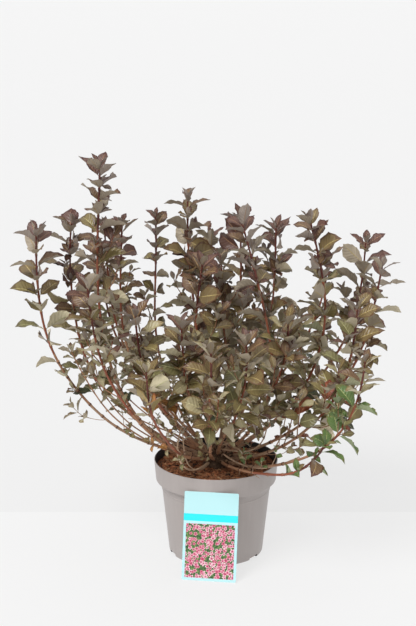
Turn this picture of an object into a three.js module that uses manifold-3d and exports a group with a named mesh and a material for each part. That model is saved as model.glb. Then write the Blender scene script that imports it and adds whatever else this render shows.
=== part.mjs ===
// A potted weigela: a bushy flowering shrub, in leaf, in a ten-litre nursery pot with a plant card.
// Millimetres, +Z up. The origin is the centre of the pot's flat underside and -Y is the front.
// Every stem leaves the woody crown, arches out as a bare bough and goes on as a leafy spray.

import * as THREE from 'three';
import { mergeVertices } from 'three/addons/utils/BufferGeometryUtils.js';
import Module from 'manifold-3d';

const wasm = await Module();
wasm.setup();

// ---------------------------------------------------------------- driving dimensions

const GAP = 0.3; // clearance between neighbouring solids
const SHORTEST_EDGE = 0.004;
const FRAMES = 40; // places along a curve at which its frame is known

const POT = {
  height: 224,
  rimRadius: 143.4, // outside, at the lip
  bandHeight: 47, // the upright band below the lip
  bandFootRadius: 139.5,
  shoulderDrop: 11, // the slope from the band in to the body
  bodyRadius: 126.5, // just under the shoulder
  footRadius: 109,
  footRound: 3,
  wall: 2.6,
  floor: 3,
  beadHeight: 5, // a raised ring that runs round under the shoulder
  beadDepth: 1.1,
  beadDrop: 9,
  sides: 32,
  notches: 6, // drain notches through the bottom edge
  notchTurn: 23, // direction of the first, in degrees from +X
  notchWidth: 30,
  notchDepth: 16,
  notchHeight: 7,
};

const SOIL = {
  height: 207, // flat seat under the crown
  seatRadius: 54,
  swell: 4, // the ring of bark round the seat stands this much higher
  swellRadius: 84,
  edgeDrop: 2,
};

const CROWN = {
  radius: 30,
  height: 24,
  lump: 0.16, // share of the radius by which the old wood bulges
  stubStart: 0.35, // where a stub leaves the stool, as a share of the stem's foot radius
  stubRadius: 6.5,
  footSpread: 48, // foot radius of a stem that leaves level
  footRise: 18,
  footLift: 34, // extra height of the foot of a stem that leaves upright
};

const BOUGH = {
  share: 0.36, // bare part of a stem, along its length
  footRadius: 4.1,
  tipRadius: 2.7,
  sides: 5,
  steps: 5,
  tipPull: 0.46, // second handle of the stem's curve, along the straight line from foot to tip
};

const SPRAY = {
  tipRadius: 1.1,
  tipDrop: 28, // the youngest leaves stand this much above the stem's end
  sides: 3,
  pairSpacing: 60, // between pairs of leaves on a main stem
  firstPair: 20, // from the spray's foot
  lastPair: 0.97, // share of the length of a stem or shoot
  shootFrom: 0.44, // side shoots leave a stem between these shares of its length
  shootTo: 0.78,
  shootLength: 0.24, // share of the stem's length
  shootLengthSpread: 0.35,
  shootRadius: 1.7,
  shootTip: 1,
  shootAngle: 48, // between a side shoot and its stem, in degrees
  shootFirstPair: 0.5,
  shootTrials: 8, // directions round the stem in which a side shoot is tried
  shootMargin: 9, // clear space kept round a side shoot
  shootReach: 8, // a side shoot may stand out this much further than its stem's tip
  leafReach: 56, // and a leaf this much
};

const LEAF = {
  length: 92,
  tipLength: 68, // the young leaves at a stem's end
  width: 0.56, // of its length
  widest: 0.42, // from the base, of its length
  thickness: 0.02, // of its length
  arch: 0.1,
  fold: 0.06,
  droop: 0.1,
  openAngle: 66, // between leaf and stem, low on the stem
  closedAngle: 36, // and at its end
  angleSpread: 9,
  turnSpread: 14,
  rollSpread: 40, // about the blade's own length
  lengthSpread: 0.12,
  margin: 2.5, // clear space kept to the next stem's space
  clear: 4, // the first part of a leaf, beside its twig
  trials: [1, 0.82, 0.66], // shares of its size at which a leaf is tried until it fits
  nudges: [0, 30, -30], // and degrees by which it is turned round its twig
  crossing: 0.2, // mm3 of the twig at its root; a leaf that cuts deeper would cross another
};

const SPACE = {
  samples: 48, // points along each stem that its space is measured from
  potClearance: 12, // leaves stay this high above the rim
  potReach: 160,
  seed: 6634,
};

const CARD = {
  width: 123,
  height: 200,
  thickness: 1,
  corner: 3,
  footDistance: 190.4, // from the pot's axis to the card's lower edge
  footCentre: 11, // along the card, from the pot's axis
  turn: -8.5, // degrees about Z
  lean: 14.3,
  lift: 0.3,
};

// Stems. azimuth: direction of the tip seen from above, in degrees from +X towards +Y.
// foot: the same for the place where the stem leaves the crown. reach and height: the tip.
// rise: slope at the foot. lean: outward slope from upright at the tip. pull: first handle of the curve.
const STEMS = [
  { name: 'far_left', azimuth: 180, foot: 183, reach: 403, height: 785, rise: 12, lean: -3, pull: 0.44 },
  { name: 'left_outer', azimuth: 164, foot: 160, reach: 345, height: 787, rise: 14, lean: -5, pull: 0.48 },
  { name: 'left_tallest', azimuth: 181, foot: 204, reach: 258, height: 937, rise: 21, lean: -3, pull: 0.4 },
  { name: 'left_front', azimuth: 205, foot: 221, reach: 310, height: 694, rise: 22, lean: 5, pull: 0.42 },
  { name: 'left_rear', azimuth: 144, foot: 140, reach: 324, height: 760, rise: 26, lean: 0, pull: 0.42 },
  { name: 'left_inner', azimuth: 153, foot: 166, reach: 243, height: 784, rise: 36, lean: -4, pull: 0.45 },
  { name: 'left_short', azimuth: 214, foot: 206, reach: 214, height: 625, rise: 44, lean: 4, pull: 0.4 },
  { name: 'back_left', azimuth: 136, foot: 120, reach: 385, height: 640, rise: 16, lean: 4, pull: 0.42 },
  { name: 'rear_left', azimuth: 122, foot: 150, reach: 270, height: 775, rise: 42, lean: 0, pull: 0.4 },
  { name: 'rear_tall', azimuth: 108, foot: 104, reach: 214, height: 824, rise: 55, lean: 0, pull: 0.4 },
  { name: 'back_centre', azimuth: 92, foot: 96, reach: 330, height: 700, rise: 31, lean: 2, pull: 0.4 },
  { name: 'centre_left', azimuth: 148, foot: 150, reach: 38, height: 708, rise: 75, lean: -8, pull: 0.4 },
  { name: 'rear_centre', azimuth: 74, foot: 70, reach: 209, height: 779, rise: 54, lean: -4, pull: 0.4 },
  { name: 'centre_right', azimuth: 84, foot: 0, reach: 118, height: 690, rise: 74, lean: 6, pull: 0.4 },
  { name: 'rear_right', azimuth: 60, foot: 46, reach: 288, height: 742, rise: 46, lean: 2, pull: 0.4 },
  { name: 'back_right', azimuth: 36, foot: 58, reach: 330, height: 705, rise: 28, lean: 2, pull: 0.42 },
  { name: 'right_outer', azimuth: 17, foot: 30, reach: 361, height: 740, rise: 22, lean: 2, pull: 0.44 },
  { name: 'right_tall', azimuth: 5, foot: 6, reach: 212, height: 808, rise: 29, lean: -16, pull: 0.45 },
  { name: 'far_right', azimuth: -8, foot: -12, reach: 371, height: 721, rise: 20, lean: 8, pull: 0.42 },
  { name: 'centre_tall', azimuth: -14, foot: -28, reach: 58, height: 812, rise: 41, lean: -16, pull: 0.44 },
  { name: 'right_front', azimuth: -21, foot: -34, reach: 331, height: 647, rise: 15, lean: 2, pull: 0.44 },
  { name: 'right_low', azimuth: -36, foot: -52, reach: 392, height: 556, rise: 6, lean: 4, pull: 0.46 },
  { name: 'right_lowest', azimuth: -46, foot: -72, reach: 338, height: 372, rise: 9, lean: 30, pull: 0.42 },
  { name: 'right_inner', azimuth: -24, foot: -48, reach: 175, height: 600, rise: 48, lean: 0, pull: 0.4 },
  { name: 'front_right', azimuth: -74, foot: -82, reach: 229, height: 595, rise: 45, lean: -6, pull: 0.4 },
  { name: 'front_left', azimuth: -118, foot: -124, reach: 165, height: 610, rise: 60, lean: 4, pull: 0.4 },
  { name: 'left_low', azimuth: 236, foot: 240, reach: 270, height: 530, rise: 18, lean: 4, pull: 0.42 },
  { name: 'front_low', azimuth: -93, foot: 262, reach: 235, height: 575, rise: 24, lean: 0, pull: 0.36 },
];

// ---------------------------------------------------------------- finishes

const finish = (color, roughness) => new THREE.MeshStandardMaterial({ color, roughness, metalness: 0 });
const POT_PLASTIC = finish(0x8d8380, 0.5);
const BARK_MULCH = finish(0x5b3524, 0.95);
const OLD_WOOD = finish(0x7a6048, 0.85);
const STEM_BARK = finish(0x8a5f45, 0.7);
const LEAVES = finish(0x5d5240, 0.6);
const CARD_STOCK = finish(0x9fd8d6, 0.35);

// ---------------------------------------------------------------- helpers

const UP = new THREE.Vector3(0, 0, 1);
const radians = THREE.MathUtils.degToRad;
const between = THREE.MathUtils.lerp;

function seededRandom(seed) {
  let state = seed;
  return () => {
    state = (state * 1664525 + 1013904223) % 4294967296;
    return state / 4294967296;
  };
}

function heading(degrees) {
  return new THREE.Vector3(Math.cos(radians(degrees)), Math.sin(radians(degrees)), 0);
}

// A closed geometry as a solid that can be joined and cut.
function solidOf(geometry) {
  const bare = geometry.clone();
  bare.deleteAttribute('normal');
  bare.deleteAttribute('uv');
  const merged = mergeVertices(bare, 1e-4);
  const corners = merged.index.array;
  const faces = [];
  for (let i = 0; i < corners.length; i += 3) {
    const [a, b, c] = [corners[i], corners[i + 1], corners[i + 2]];
    if (a !== b && b !== c && c !== a) faces.push(a, b, c);
  }
  const vertProperties = new Float32Array(merged.attributes.position.array);
  const mesh = new wasm.Mesh({ numProp: 3, vertProperties, triVerts: new Uint32Array(faces) });
  return new wasm.Manifold(mesh);
}

function geometryOf(solid) {
  const mesh = solid.getMesh();
  const geometry = new THREE.BufferGeometry();
  geometry.setAttribute('position', new THREE.BufferAttribute(mesh.vertProperties, 3));
  geometry.setIndex(new THREE.BufferAttribute(mesh.triVerts, 1));
  geometry.computeVertexNormals();
  return geometry;
}

function largestBody(solid) {
  const bodies = solid.decompose();
  return bodies.reduce((best, body) => (body.volume() > best.volume() ? body : best));
}

// Whether a joined solid is free of sliver edges, that is of corners that all but coincide.
function isClean(solid) {
  const { vertProperties, triVerts } = solid.getMesh();
  const corners = Array.from({ length: vertProperties.length / 3 }, (_, i) =>
    new THREE.Vector3().fromArray(vertProperties, 3 * i),
  );
  for (let i = 0; i < triVerts.length; i += 3) {
    const [a, b, c] = [corners[triVerts[i]], corners[triVerts[i + 1]], corners[triVerts[i + 2]]];
    if (Math.min(a.distanceTo(b), b.distanceTo(c), c.distanceTo(a)) < SHORTEST_EDGE) return false;
  }
  return true;
}

function turned(profile, sides) {
  const points = profile.map(([radius, height]) => new THREE.Vector2(radius, height));
  const geometry = new THREE.LatheGeometry(points, sides);
  geometry.rotateX(Math.PI / 2);
  return geometry;
}

// A cylinder bent along a curve, with a ring at each of the given shares of the curve's length.
function limb(curve, shares, startRadius, endRadius, sides) {
  const last = shares.length - 1;
  const geometry = new THREE.CylinderGeometry(1, 1, 1, sides, last);
  const frames = curve.computeFrenetFrames(FRAMES);
  const position = geometry.attributes.position;
  for (let i = 0; i < position.count; i += 1) {
    const ring = Math.round((position.getY(i) + 0.5) * last);
    const share = shares[ring];
    const radius = between(startRadius, endRadius, ring / last);
    const tangent = curve.getTangentAt(share);
    const across = frames.normals[Math.round(share * FRAMES)].clone().projectOnPlane(tangent).normalize();
    const beside = new THREE.Vector3().crossVectors(across, tangent);
    const point = curve.getPointAt(share);
    point.addScaledVector(across, position.getX(i) * radius);
    point.addScaledVector(beside, position.getZ(i) * radius);
    position.setXYZ(i, point.x, point.y, point.z);
  }
  return geometry;
}

// Evenly spaced values from one number to another, both included.
function steps(from, to, count) {
  return Array.from({ length: count + 1 }, (_, i) => between(from, to, i / count));
}

// ---------------------------------------------------------------- pot, soil and card

function bodyRadiusAt(height) {
  const top = POT.height - POT.bandHeight - POT.shoulderDrop;
  return between(POT.footRadius, POT.bodyRadius, height / top);
}

function potGeometry() {
  const bandFoot = POT.height - POT.bandHeight;
  const bodyTop = bandFoot - POT.shoulderDrop;
  const beadTop = bodyTop - POT.beadDrop;
  const beadFoot = beadTop - POT.beadHeight;
  const outside = [
    [0, 0],
    [POT.footRadius - POT.footRound, 0],
    [bodyRadiusAt(POT.footRound), POT.footRound],
    [bodyRadiusAt(beadFoot), beadFoot],
    [bodyRadiusAt(beadTop) + POT.beadDepth, between(beadFoot, beadTop, 0.5)],
    [bodyRadiusAt(beadTop), beadTop],
    [POT.bodyRadius, bodyTop],
    [POT.bandFootRadius, bandFoot],
    [POT.rimRadius, POT.height - 1],
    [POT.rimRadius - 1, POT.height],
  ];
  const inside = [
    [POT.rimRadius - POT.wall, POT.height],
    [POT.bandFootRadius - POT.wall, bandFoot],
    [POT.bodyRadius - POT.wall, bodyTop],
    [bodyRadiusAt(POT.floor) - POT.wall, POT.floor],
    [0, POT.floor],
  ];
  let pot = solidOf(turned([...outside, ...inside], POT.sides));
  for (let i = 0; i < POT.notches; i += 1) {
    const cut = new THREE.BoxGeometry(POT.notchDepth, POT.notchWidth, 2 * POT.notchHeight);
    cut.translate(POT.footRadius, 0, 0);
    cut.rotateZ(radians(POT.notchTurn + (360 * i) / POT.notches));
    pot = pot.subtract(solidOf(cut));
  }
  return geometryOf(pot);
}

function soilGeometry() {
  const bandFoot = POT.height - POT.bandHeight;
  const bodyTop = bandFoot - POT.shoulderDrop;
  const inset = POT.wall + 2 * GAP;
  const edge = SOIL.height - SOIL.edgeDrop;
  const bandShare = (edge - bandFoot) / POT.bandHeight;
  const bottom = POT.floor + GAP;
  return turned(
    [
      [0, bottom],
      [bodyRadiusAt(bottom) - inset, bottom],
      [POT.bodyRadius - inset, bodyTop],
      [POT.bandFootRadius - inset, bandFoot],
      [between(POT.bandFootRadius, POT.rimRadius, bandShare) - inset, edge],
      [SOIL.swellRadius, SOIL.height + SOIL.swell],
      [SOIL.seatRadius, SOIL.height],
      [0, SOIL.height],
    ],
    POT.sides,
  );
}

function cardGeometry() {
  const half = CARD.width / 2;
  const shape = new THREE.Shape();
  shape.moveTo(-half, 0);
  shape.lineTo(half, 0);
  shape.lineTo(half, CARD.height - CARD.corner);
  shape.lineTo(half - CARD.corner, CARD.height);
  shape.lineTo(CARD.corner - half, CARD.height);
  shape.lineTo(-half, CARD.height - CARD.corner);
  shape.closePath();
  const geometry = new THREE.ExtrudeGeometry(shape, { depth: CARD.thickness, bevelEnabled: false });
  geometry.rotateX(Math.PI / 2 - radians(CARD.lean));
  geometry.translate(CARD.footCentre, -CARD.footDistance, CARD.lift);
  geometry.rotateZ(radians(CARD.turn));
  return geometry;
}

// ---------------------------------------------------------------- stems

function stemCurve(stem) {
  const steep = stem.rise / 90;
  const out = heading(stem.azimuth);
  const away = heading(stem.foot);
  const foot = away.clone().multiplyScalar(CROWN.footSpread * (1 - steep));
  foot.z = SOIL.height + CROWN.footRise + CROWN.footLift * steep;
  const tip = out.clone().multiplyScalar(stem.reach);
  tip.z = stem.height - SPRAY.tipDrop;
  const span = foot.distanceTo(tip);
  const rise = radians(stem.rise);
  const lean = radians(stem.lean);
  const leaves = away.clone().multiplyScalar(Math.cos(rise)).addScaledVector(UP, Math.sin(rise));
  const arrives = out.clone().multiplyScalar(Math.sin(lean)).addScaledVector(UP, Math.cos(lean));
  const first = foot.clone().addScaledVector(leaves, stem.pull * span);
  const second = tip.clone().addScaledVector(arrives, -BOUGH.tipPull * span);
  return new THREE.CubicBezierCurve3(foot, first, second, tip);
}

function boughGeometry(curve) {
  const start = GAP / curve.getLength();
  const shares = steps(start, BOUGH.share, BOUGH.steps);
  return limb(curve, shares, BOUGH.footRadius, BOUGH.tipRadius, BOUGH.sides);
}

// The woody stool, cut flat where it meets the soil, with one stub for each stem.
function crownGeometry(curves) {
  const stool = new THREE.SphereGeometry(CROWN.radius, 10, 6);
  const position = stool.attributes.position;
  for (let i = 0; i < position.count; i += 1) {
    const turn = Math.atan2(position.getZ(i), position.getX(i));
    const bulge = 1 + CROWN.lump * Math.sin(5 * turn) * Math.cos(3 * turn + 1);
    position.setX(i, position.getX(i) * bulge);
    position.setY(i, (position.getY(i) * CROWN.height) / CROWN.radius);
    position.setZ(i, position.getZ(i) * bulge);
  }
  stool.rotateX(Math.PI / 2);
  const ground = SOIL.height + GAP;
  stool.translate(0, 0, ground + CROWN.height * 0.3);
  let crown = solidOf(stool);
  curves.forEach((curve) => {
    const end = curve.getPointAt(0);
    const start = end.clone().multiplyScalar(CROWN.stubStart);
    start.z = ground + CROWN.height * 0.4;
    const handle = end.clone().addScaledVector(curve.getTangentAt(0), -0.35 * start.distanceTo(end));
    const stub = new THREE.QuadraticBezierCurve3(start, handle, end);
    crown = crown.add(solidOf(limb(stub, [0, 1], CROWN.stubRadius, BOUGH.footRadius, BOUGH.sides)));
  });
  const side = 4 * CROWN.footSpread;
  const below = new THREE.BoxGeometry(side, side, side);
  below.translate(0, 0, ground - side / 2);
  return geometryOf(crown.subtract(solidOf(below)));
}

// ---------------------------------------------------------------- space of each spray

function spaceKeeper(curves) {
  const spines = curves.map((curve) => curve.getSpacedPoints(SPACE.samples));
  const distance = (point, spine) => {
    let nearest = Infinity;
    spine.forEach((place) => {
      nearest = Math.min(nearest, point.distanceTo(place));
    });
    return nearest;
  };
  const overPot = POT.height + SPACE.potClearance;
  return (points, own, margin) =>
    points.every((point) => {
      if (Math.hypot(point.x, point.y) < SPACE.potReach && point.z < overPot) return false;
      const near = distance(point, spines[own]) + 2 * margin;
      return spines.every((spine, index) => index === own || distance(point, spine) > near);
    });
}

// ---------------------------------------------------------------- leaves and side shoots

// A leaf is an octahedron drawn out along the blade: folded at the midrib, arched and drooping.
function leafGeometry(base, along, face, length) {
  const across = new THREE.Vector3().crossVectors(face, along);
  const half = (LEAF.width * length) / 2;
  const arch = LEAF.arch * length;
  const fold = LEAF.fold * length;
  const thick = (LEAF.thickness * length) / 2;
  const geometry = new THREE.OctahedronGeometry(1);
  const position = geometry.attributes.position;
  for (let i = 0; i < position.count; i += 1) {
    const [x, y, z] = [position.getX(i), position.getY(i), position.getZ(i)];
    const share = x < -0.5 ? 0 : x > 0.5 ? 1 : LEAF.widest;
    const point = base.clone().addScaledVector(along, share * length);
    const lift = Math.abs(x) > 0.5 ? -share * LEAF.droop * length : arch + Math.abs(z) * fold + y * thick;
    point.addScaledVector(face, lift);
    point.addScaledVector(across, -z * half);
    position.setXYZ(i, point.x, point.y, point.z);
  }
  return geometry;
}

// The blade's outline and the middle of each of its edges.
function leafOutline(geometry) {
  const position = geometry.attributes.position;
  const corners = [];
  for (let i = 0; i < position.count; i += 1) {
    const point = new THREE.Vector3().fromBufferAttribute(position, i);
    if (corners.every((corner) => corner.distanceTo(point) > 1e-3)) corners.push(point);
  }
  const middles = corners.flatMap((a) => corners.map((b) => a.clone().lerp(b, 0.5)));
  return [...corners, ...middles];
}

function sideOf(tangent, turn) {
  const level = Math.abs(tangent.z) < 0.98 ? UP : new THREE.Vector3(1, 0, 0);
  const first = new THREE.Vector3().crossVectors(tangent, level).normalize();
  const second = new THREE.Vector3().crossVectors(tangent, first);
  return first.multiplyScalar(Math.cos(turn)).addScaledVector(second, Math.sin(turn));
}

// Leaves are added one by one to a spray; one that finds no room at any of its sizes is left out.
function growLeaf(spray, twig, share, turn, angle, length, roll) {
  const tangent = twig.getTangentAt(share);
  const open = radians(angle);
  const base = twig.getPointAt(share);
  const trials = LEAF.trials.flatMap((size) => LEAF.nudges.map((nudge) => [size, nudge]));
  for (const [size, nudge] of trials) {
    const side = sideOf(tangent, turn + radians(nudge));
    const along = tangent.clone().multiplyScalar(Math.cos(open)).addScaledVector(side, Math.sin(open));
    const face = tangent.clone().multiplyScalar(Math.sin(open)).addScaledVector(side, -Math.cos(open));
    face.applyAxisAngle(along, roll);
    const blade = leafGeometry(base, along, face, length * size);
    const outline = leafOutline(blade).filter((point) => point.distanceTo(base) > LEAF.clear);
    if (!spray.keeps(outline, LEAF.margin, SPRAY.leafReach)) continue;
    const leaf = solidOf(blade);
    if (spray.solid.intersect(leaf).volume() > LEAF.crossing) continue;
    const joined = spray.solid.add(leaf);
    if (!isClean(joined)) continue;
    spray.solid = joined;
    return;
  }
}

// Opposite pairs, each a quarter turn on from the last, the last pair closing the twig.
function growPairs(spray, twig, shares, stretch, turn, random) {
  const spread = (size) => (random() * 2 - 1) * size;
  shares.forEach((share, index) => {
    const youth = between(stretch[0], stretch[1], index / Math.max(1, shares.length - 1));
    const angle = between(LEAF.openAngle, LEAF.closedAngle, youth);
    const length = between(LEAF.length, LEAF.tipLength, youth);
    for (const half of [0, Math.PI]) {
      const around = turn + (index * Math.PI) / 2 + half + radians(spread(LEAF.turnSpread));
      const opening = angle + spread(LEAF.angleSpread);
      const size = length * (1 + spread(LEAF.lengthSpread));
      growLeaf(spray, twig, share, around, opening, size, radians(spread(LEAF.rollSpread)));
    }
  });
}

function shootCurve(curve, share, turn, length) {
  const tangent = curve.getTangentAt(share);
  const angle = radians(SPRAY.shootAngle);
  const side = sideOf(tangent, turn);
  const away = tangent.clone().multiplyScalar(Math.cos(angle)).addScaledVector(side, Math.sin(angle));
  const start = curve.getPointAt(share);
  const middle = start.clone().addScaledVector(away, length * 0.5);
  const end = middle.clone().addScaledVector(away.lerp(UP, 0.6).normalize(), length * 0.5);
  return new THREE.QuadraticBezierCurve3(start, middle, end);
}

// One stem's upper part with its side shoots and leaves, all joined into one solid.
// Both the leaves and the shoots leave the stem at its nodes, which are the stem's rings.
function sprayGeometry(curves, own, allows, random) {
  const curve = curves[own];
  const total = curve.getLength();
  const start = BOUGH.share + GAP / total;
  const first = start + SPRAY.firstPair / total;
  const pairs = Math.max(2, Math.round((total * (1 - first)) / SPRAY.pairSpacing));
  const nodes = steps(first, SPRAY.lastPair, pairs - 1);
  const stem = limb(curve, [start, ...nodes, 1], BOUGH.tipRadius, SPRAY.tipRadius, SPRAY.sides);
  const keeps = (points, margin, beyond) => {
    const reach = STEMS[own].reach + beyond;
    return points.every((point) => Math.hypot(point.x, point.y) < reach) && allows(points, own, margin);
  };
  const spray = { solid: solidOf(stem), keeps };
  const shootNodes = nodes.filter((share) => share > SPRAY.shootFrom && share < SPRAY.shootTo);
  const places = [SPRAY.shootFirstPair, SPRAY.lastPair];
  const twigs = [];

  shootNodes.forEach((share) => {
    const spread = 1 + (random() * 2 - 1) * SPRAY.shootLengthSpread;
    const turn = random() * 2 * Math.PI;
    for (let trial = 0; trial < SPRAY.shootTrials; trial += 1) {
      const around = turn + (2 * Math.PI * trial) / SPRAY.shootTrials;
      const twig = shootCurve(curve, share, around, total * SPRAY.shootLength * spread);
      const line = twig.getSpacedPoints(6).slice(2);
      if (!spray.keeps(line, SPRAY.shootMargin, SPRAY.shootReach)) continue;
      const wood = limb(twig, [0, ...places, 1], SPRAY.shootRadius, SPRAY.shootTip, SPRAY.sides);
      const joined = spray.solid.add(solidOf(wood));
      if (!isClean(joined)) continue;
      spray.solid = joined;
      twigs.push(twig);
      break;
    }
  });

  growPairs(spray, curve, nodes, [0, 1], random() * Math.PI, random);
  twigs.forEach((twig) => growPairs(spray, twig, places, [0.3, 0.9], random() * Math.PI, random));
  return geometryOf(largestBody(spray.solid));
}

// ---------------------------------------------------------------- assembly

const weigela = new THREE.Group();

function place(name, geometry, material) {
  const mesh = new THREE.Mesh(geometry, material);
  mesh.name = name;
  weigela.add(mesh);
}

const curves = STEMS.map(stemCurve);
const allows = spaceKeeper(curves);
const random = seededRandom(SPACE.seed);

place('pot', potGeometry(), POT_PLASTIC);
place('soil', soilGeometry(), BARK_MULCH);
place('crown', crownGeometry(curves), OLD_WOOD);
STEMS.forEach((stem, index) => {
  place(`${stem.name}_bough`, boughGeometry(curves[index]), STEM_BARK);
  place(`${stem.name}_foliage`, sprayGeometry(curves, index, allows, random), LEAVES);
});
place('plant_card', cardGeometry(), CARD_STOCK);

export default weigela;
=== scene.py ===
"""A potted weigela, dressed for a studio picture.

The frame holds the plain solids. Each class below stands for some of them with finished pieces
of the same sizes in the same places. Sizes are in millimetres and angles in degrees. The origin
is the centre of the pot's flat underside, +Z is up and -Y is the front.
"""

import logging
import math
from collections.abc import Iterator
from dataclasses import dataclass, field
from enum import Enum, IntEnum
from typing import ClassVar

import bpy
import numpy as np
from mathutils import Matrix, Vector, noise


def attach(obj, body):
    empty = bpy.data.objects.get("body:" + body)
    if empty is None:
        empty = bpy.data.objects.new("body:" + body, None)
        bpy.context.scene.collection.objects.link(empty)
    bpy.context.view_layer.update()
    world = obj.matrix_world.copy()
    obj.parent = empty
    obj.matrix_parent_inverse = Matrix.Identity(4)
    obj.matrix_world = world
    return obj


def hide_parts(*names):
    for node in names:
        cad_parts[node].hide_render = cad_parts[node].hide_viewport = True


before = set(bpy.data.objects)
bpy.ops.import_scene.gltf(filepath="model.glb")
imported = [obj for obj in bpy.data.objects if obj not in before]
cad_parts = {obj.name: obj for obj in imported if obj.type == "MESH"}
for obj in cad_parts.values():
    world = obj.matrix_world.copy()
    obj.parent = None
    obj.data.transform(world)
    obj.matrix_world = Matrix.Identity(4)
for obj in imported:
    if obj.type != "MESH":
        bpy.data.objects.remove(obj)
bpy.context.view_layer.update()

LOG = logging.getLogger("weigela")
Array = np.ndarray
Colour = tuple[float, float, float, float]
Span = tuple[float, float]
Triple = tuple[float, float, float]
Series = tuple[float, ...]
Shape = tuple[Array, list[Array]]  # points and faces
Dealer = np.random.Generator
Piece = bpy.types.Object
Material = bpy.types.Material
Tree = bpy.types.NodeTree
Node = bpy.types.Node
Socket = bpy.types.NodeSocket

MM = 0.001  # metres in a millimetre
UP = np.array((0.0, 0.0, 1.0))
NOISE_RANGE = (0.3, 0.7)  # where nearly all values of a noise pattern lie
BODY = "root"
BLADE_MAP = "blade"  # coordinates along and across each leaf
SEED = 6634
MOST_TRIANGLES = 190_000


# ---- colours and shader nodes


def linear(hex_value: str) -> Colour:
    """Turns an sRGB hex value such as "8d8380" into a linear colour."""
    channels = [int(hex_value[i : i + 2], 16) / 255 for i in (0, 2, 4)]
    red, green, blue = (c / 12.92 if c <= 0.04045 else ((c + 0.055) / 1.055) ** 2.4 for c in channels)
    return red, green, blue, 1.0


def per_metre(size: float) -> float:
    """The scale, on coordinates in metres, of a pattern whose features are this many mm across."""
    return 1.0 / (size * MM)


def add_node(
    tree: Tree,
    kind: str,
    settings: dict[str | int, object] | None = None,
    links: dict[str | int, Socket] | None = None,
) -> bpy.types.NodeOutputs:
    """Adds a shader node with its settings and links.

    Args:
        tree: The node tree that the node goes into.
        kind: Blender's name for the type of node, after the ShaderNode that each starts with.
        settings: Values by name or input number. A name that isn't an input sets the node itself,
            and "ramp" gives the stops of a colour ramp as places and hex values.
        links: The sockets that feed the node's inputs, by the input's name or number.

    Returns:
        The node's outputs.
    """
    node = tree.nodes.new(f"ShaderNode{kind}")
    for name, value in (settings or {}).items():
        if name == "ramp":
            stops = node.color_ramp.elements
            while len(stops) < len(value):
                stops.new(0.5)
            for stop, (place, hex_value) in zip(stops, value):
                stop.position = place
                stop.color = linear(hex_value)
        elif isinstance(name, int) or name in node.inputs:
            node.inputs[name].default_value = value
        else:
            setattr(node, name, value)
    for name, source in (links or {}).items():
        tree.links.new(source, node.inputs[name])
    return node.outputs


# ---- finishes


@dataclass(frozen=True)
class Finish:
    """A surface as it grew or was made: its name, its plain colour and how light meets it."""

    name: str
    colour: str
    roughness: float = 0.5
    ior: float = 1.5

    def start(self) -> tuple[Material, Tree, Node, Socket]:
        """Makes the material and sets what is the same all over it on the shader itself.

        Returns:
            The material, its node tree, its shader, and each point's place on the piece in metres.
        """
        material = bpy.data.materials.new(self.name)
        material.use_nodes = True
        tree = material.node_tree
        shader = tree.nodes["Principled BSDF"]
        shader.inputs["Base Color"].default_value = linear(self.colour)
        shader.inputs["Roughness"].default_value = self.roughness
        shader.inputs["IOR"].default_value = self.ior
        return material, tree, shader, add_node(tree, "TexCoord")["Object"]

    def two_tone(self, tree: Tree, pattern: Socket, contrast: float, second: str) -> Socket:
        """Blends the finish's colour into a second one where a pattern passes its middle.

        Args:
            tree: The material's node tree.
            pattern: The pattern, from 0 to 1.
            contrast: Half the width of the step between the two colours.
            second: The second colour's hex value.

        Returns:
            The colour.
        """
        step = {"From Min": 0.5 - contrast, "From Max": 0.5 + contrast}
        share = add_node(tree, "MapRange", step, {"Value": pattern})["Result"]
        pair = {"data_type": "RGBA", 6: linear(self.colour), 7: linear(second)}
        return add_node(tree, "Mix", pair, {0: share})[2]

    @staticmethod
    def relief(
        tree: Tree,
        place: Socket,
        size: float,
        depth: float,
        strength: float,
        detail: float = 2.0,
        harshness: float = 0.5,
    ) -> Socket:
        """Raises a fine grain on the surface.

        Args:
            tree: The material's node tree.
            place: The coordinates that the grain lies on.
            size: The width of a grain.
            depth: Its height.
            strength: How far the light follows it, from 0 to 1.
            detail: How many finer grains lie on each.
            harshness: How strong the finer grains are.

        Returns:
            The direction that the surface faces.
        """
        scale = {"Scale": per_metre(size), "Detail": detail, "Roughness": harshness}
        grain = add_node(tree, "TexNoise", scale, {"Vector": place})["Fac"]
        raised = {"Strength": strength, "Distance": depth * MM}
        return add_node(tree, "Bump", raised, {"Height": grain})["Normal"]

    def material(self) -> Material:
        """The finished material; each kind of finish adds its own pattern."""
        return self.start()[0]


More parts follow.
